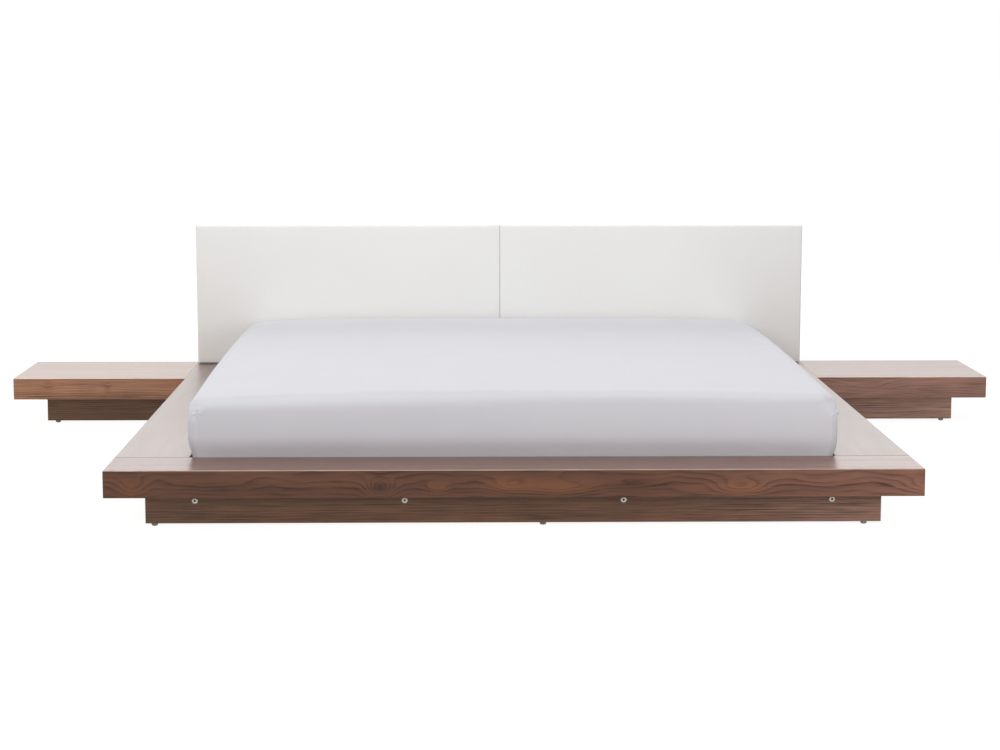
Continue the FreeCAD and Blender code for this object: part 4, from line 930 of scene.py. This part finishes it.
# Each table top is mixed towards a tone painted for the reflection and shade on it, and its upturned arrises
# carry a painted highlight.
STREAKED = {"ring": 0.0085, "figure": 0.14, "wander": 3.0, "contrast": 0.6, "fibre": 1.5, "worn": 1.0}
dress(sawn_wood("walnut_left_table", "X", linear(166, 121, 95), linear(92, 61, 45), seed=27.0,
                knots=LEFT_KNOTS, painted_top_light=linear(146, 120, 106), **STREAKED, **LACQUER), "left_table_top")
dress(sawn_wood("walnut_right_table", "X", linear(150, 113, 102), linear(86, 60, 52), seed=33.0,
                knots=RIGHT_KNOTS, painted_top_light=linear(126, 92, 80), **STREAKED, **LACQUER), "right_table_top")
ease(0.004, "left_table_top", "right_table_top")
dress(panel_board, "left_table_floor", "right_table_floor", "table_ribs")
dress(zinc, "table_link_plates")


# Wood screws and staples: zinc plated screws with a cross recess, flush in every strap, plate and
# steel angle, and wire staples that hold the lining cloth along its edges.
SCREW = [(0.0004, -0.017), (0.0016, -0.013), (0.0016, -0.003), (0.0042, -0.0004), (0.0041, 0.0001),
         (0.0027, 0.0003)]
CROSS_RADIUS, CROSS_DEPTH, SCREW_SIDES = SCREW[-1][0], -0.0016, 16
BACKWARD, FORWARD, DOWN, LEFTWARD, RIGHTWARD = (0, 1, 0), (0, -1, 0), (0, 0, -1), (-1, 0, 0), (1, 0, 0)


def cross(turn):
    return CROSS_RADIUS * (0.35 + 0.65 * abs(math.cos(2 * turn)))


screw = turned("wood_screw", SCREW_SIDES, SCREW)
recessed(screw, cross, CROSS_DEPTH)
UPRIGHT_LEG, FLAT_LEG, PLATE_FACE, HALF_PITCH = 0.082, 0.0955, 0.095, 0.01
driven = [((x, 1.150, z), BACKWARD) for x in (-0.8, -0.33, 0.33, 0.8) for z in (0.129, 0.159, 0.240, 0.410)]
driven += [((x, 1.149, z), BACKWARD) for x in (-0.045, -0.020, 0.020, 0.045) for z in (0.305, 0.559)]
for angle in (-0.5925, 0.0, 0.5925):
    for x in (angle - HALF_PITCH, angle + HALF_PITCH):
        driven += [((x, -1.0255, UPRIGHT_LEG), BACKWARD), ((x, -1.012, FLAT_LEG), DOWN)]
        driven += [((x, 1.1005, UPRIGHT_LEG), FORWARD), ((x, 1.087, FLAT_LEG), DOWN)]
for angle in (-0.6, 0.0, 0.6):
    for y in (angle - HALF_PITCH, angle + HALF_PITCH):
        driven += [((-0.9945, y, UPRIGHT_LEG), RIGHTWARD), ((-0.981, y, FLAT_LEG), DOWN)]
        driven += [((0.9945, y, UPRIGHT_LEG), LEFTWARD), ((0.981, y, FLAT_LEG), DOWN)]
driven += [((x, y, PLATE_FACE), DOWN) for x in (-0.953, 0.953) for y in (-0.988, -0.957, -0.923, -0.892)]
driven += [((side * x, y, PLATE_FACE), DOWN) for side in (-1, 1) for x in (1.072, 1.100, 1.138, 1.166)
           for y in (0.8585, 1.0585)]
places = [Matrix.Translation(spot) @ Vector(way).to_track_quat("Z", "Y").to_matrix().to_4x4()
          for spot, way in driven]
fit(set_out(screw, "wood_screws", places, zinc, 30), "bed_frame", "zinc_steel")

STAPLE_HALF, STAPLE_WIRE, STAPLE_LEG, STAPLE_ROUND = 0.005, 0.0007, 0.004, 0.0002
STAPLE_STEP, STAPLE_INSET, STAPLE_END, STAPLE_LEVEL = 0.06, 0.008, 0.02, 0.0006
staple = block("staple", (-STAPLE_HALF, 0, -STAPLE_WIRE / 2), (STAPLE_HALF, STAPLE_WIRE, STAPLE_WIRE / 2))
sliced(staple, 0, -STAPLE_HALF + STAPLE_WIRE, STAPLE_HALF - STAPLE_WIRE, 1)
mode("EDIT")
pick(staple, "FACE", lambda at, facing: facing.y < -0.9 and abs(at.x) > STAPLE_HALF - STAPLE_WIRE)
drawn_out(0, -STAPLE_LEG, 0)
mode("OBJECT")
round_off(staple, STAPLE_ROUND, 2, lambda at, way: at.y > STAPLE_WIRE - 0.0001)
shot = []
for side in ("left", "right"):
    low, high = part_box(f"headboard_{side}_back_cloth")
    level = low[1] + STAPLE_LEVEL
    steps = int((high[0] - low[0]) / STAPLE_STEP)
    for n in range(steps + 1):
        x = low[0] + STAPLE_END + (high[0] - low[0] - 2 * STAPLE_END) * n / steps
        shot += [Matrix.Translation((x, level, z)) for z in (low[2] + STAPLE_INSET, high[2] - STAPLE_INSET)]
    steps = int((high[2] - low[2]) / STAPLE_STEP)
    for n in range(1, steps):
        z = low[2] + (high[2] - low[2]) * n / steps
        shot += [Matrix.Translation((x, level, z)) @ Matrix.Rotation(math.pi / 2, 4, "Y")
                 for x in (low[0] + STAPLE_INSET, high[0] - STAPLE_INSET)]
fit(set_out(staple, "lining_staples", shot, zinc, 40), "bed_frame", "zinc_steel")


# Studio: a white paper floor that keeps a soft shadow, its glow painted dimmer under the bed as shade, a
# white surround, six soft lamps, and a camera at the photograph's place, looking a little down along the bed.
def shows_backdrop(tree):
    """One for a ray from the camera, or by way of gloss or glass, and nothing for other light."""
    rays = add(tree, "LightPath").outputs
    mirrored = calc(tree, "MAXIMUM", rays["Is Glossy Ray"], rays["Is Transmission Ray"])
    return calc(tree, "MAXIMUM", rays["Is Camera Ray"], mirrored)


def inside(tree, value, full, none):
    """One within a distance either way, fading to nothing."""
    feeds = {0: calc(tree, "ABSOLUTE", value), 1: full, 2: none, 3: 1.0, 4: 0.0}
    return add(tree, "MapRange", feeds).outputs[0]


FLOOR_SIZE, FLOOR_GLOW, UNDER_BED_PAINTED_SHADE, FLOOR_SHADE = 80.0, 0.925, -0.8, (0.22, 0.22, 0.22, 1)
UNDER_BED_WIDTH, UNDER_BED_MIDDLE, UNDER_BED_LENGTH = (0.965, 0.99), 0.068, (1.015, 1.0375)
bpy.ops.mesh.primitive_plane_add(size=FLOOR_SIZE, location=(0, 0, 0))
floor = named("studio_floor")
paper, tree, shader, place = new_finish("studio_paper", Roughness=0.9, Specular_Ior_Level=0.0)
color = mixed(tree, cloudy(tree, place, 2.0), (0.78, 0.78, 0.78, 1), (0.82, 0.82, 0.82, 1))
tree.links.new(color, shader.inputs["Base Color"])
at = add(tree, "SeparateXYZ", {0: place}).outputs
# Under the bed's plinths the floor's glow is turned down: a painted shadow.
painted_shade_mask = calc(tree, "MULTIPLY", inside(tree, at["X"], *UNDER_BED_WIDTH),
               inside(tree, calc(tree, "SUBTRACT", at["Y"], UNDER_BED_MIDDLE), *UNDER_BED_LENGTH))
white = add(tree, "Emission", {"Strength": calc(tree, "MULTIPLY_ADD", painted_shade_mask, UNDER_BED_PAINTED_SHADE, FLOOR_GLOW)})
pale = add(tree, "BsdfDiffuse", {"Color": FLOOR_SHADE})
lit = add(tree, "AddShader", {0: white.outputs[0], 1: pale.outputs[0]})
both = add(tree, "MixShader", {0: shows_backdrop(tree), 1: shader.outputs[0], 2: lit.outputs[0]})
tree.links.new(both.outputs[0], tree.nodes["Material Output"].inputs[0])
floor.data.materials.append(paper)

SURROUND_LIGHT, SURROUND_CLEARER = 0.34, 0.66
world = bpy.data.worlds.new("studio")
bpy.context.scene.world = world
world.use_nodes = True
tree = world.node_tree
surround = tree.nodes["Background"].inputs
surround["Color"].default_value = (1, 1, 1, 1)
strength = calc(tree, "MULTIPLY_ADD", shows_backdrop(tree), SURROUND_CLEARER, SURROUND_LIGHT)
tree.links.new(strength, surround["Strength"])

# Each lamp: its place, width, depth and watts.
LAMPS = {
    "key": ((-1.8, -2.6, 6.6), 4.0, 4.0, 102.0),
    "front": ((-2.0, -8.3, 3.0), 4.0, 2.2, 178.0),
    "fill": ((2.8, -3.8, 1.4), 1.8, 1.4, 34.0),
    "side": ((-3.4, -0.9, 1.6), 1.2, 1.2, 12.0),
    "top": ((0.0, 1.8, 6.2), 6.0, 3.5, 114.0),
    "rim": ((0.0, 6.0, 2.8), 10.0, 2.4, 110.0),
}
AIM = Vector((0.0, 0.0, 0.3))
for label, (spot, width, depth, watts) in LAMPS.items():
    lamp = bpy.data.lights.new(label, "AREA")
    lamp.shape = "RECTANGLE"
    lamp.size = width
    lamp.size_y = depth
    lamp.energy = watts
    light = bpy.data.objects.new(label, lamp)
    bpy.context.collection.objects.link(light)
    light.location = spot
    light.rotation_euler = (AIM - Vector(spot)).to_track_quat("-Z", "Y").to_euler()
    light.visible_camera = False

CAMERA_PLACE, YAW, PITCH, ROLL = (-0.1548, -7.0681, 1.2396), 0.0191, 0.1353, 0.0007
SENSOR_WIDTH, LENS, SIGHT = 36.0, 79.64, 200.0
forward = Vector((math.sin(YAW) * math.cos(PITCH), math.cos(YAW) * math.cos(PITCH), -math.sin(PITCH)))
level = Vector((math.cos(YAW), -math.sin(YAW), 0.0))
upright = level.cross(forward)
right = level * math.cos(ROLL) + upright * math.sin(ROLL)
up = upright * math.cos(ROLL) - level * math.sin(ROLL)
camera = bpy.data.objects.new("camera", bpy.data.cameras.new("camera"))
bpy.context.collection.objects.link(camera)
turned_to = Matrix((right, up, -forward)).transposed().to_4x4()
camera.matrix_world = Matrix.Translation(CAMERA_PLACE) @ turned_to
camera.data.sensor_fit = "HORIZONTAL"
camera.data.sensor_width = SENSOR_WIDTH
camera.data.lens = LENS
camera.data.clip_end = SIGHT
bpy.context.scene.camera = camera
bpy.context.scene.view_settings.view_transform = "Standard"
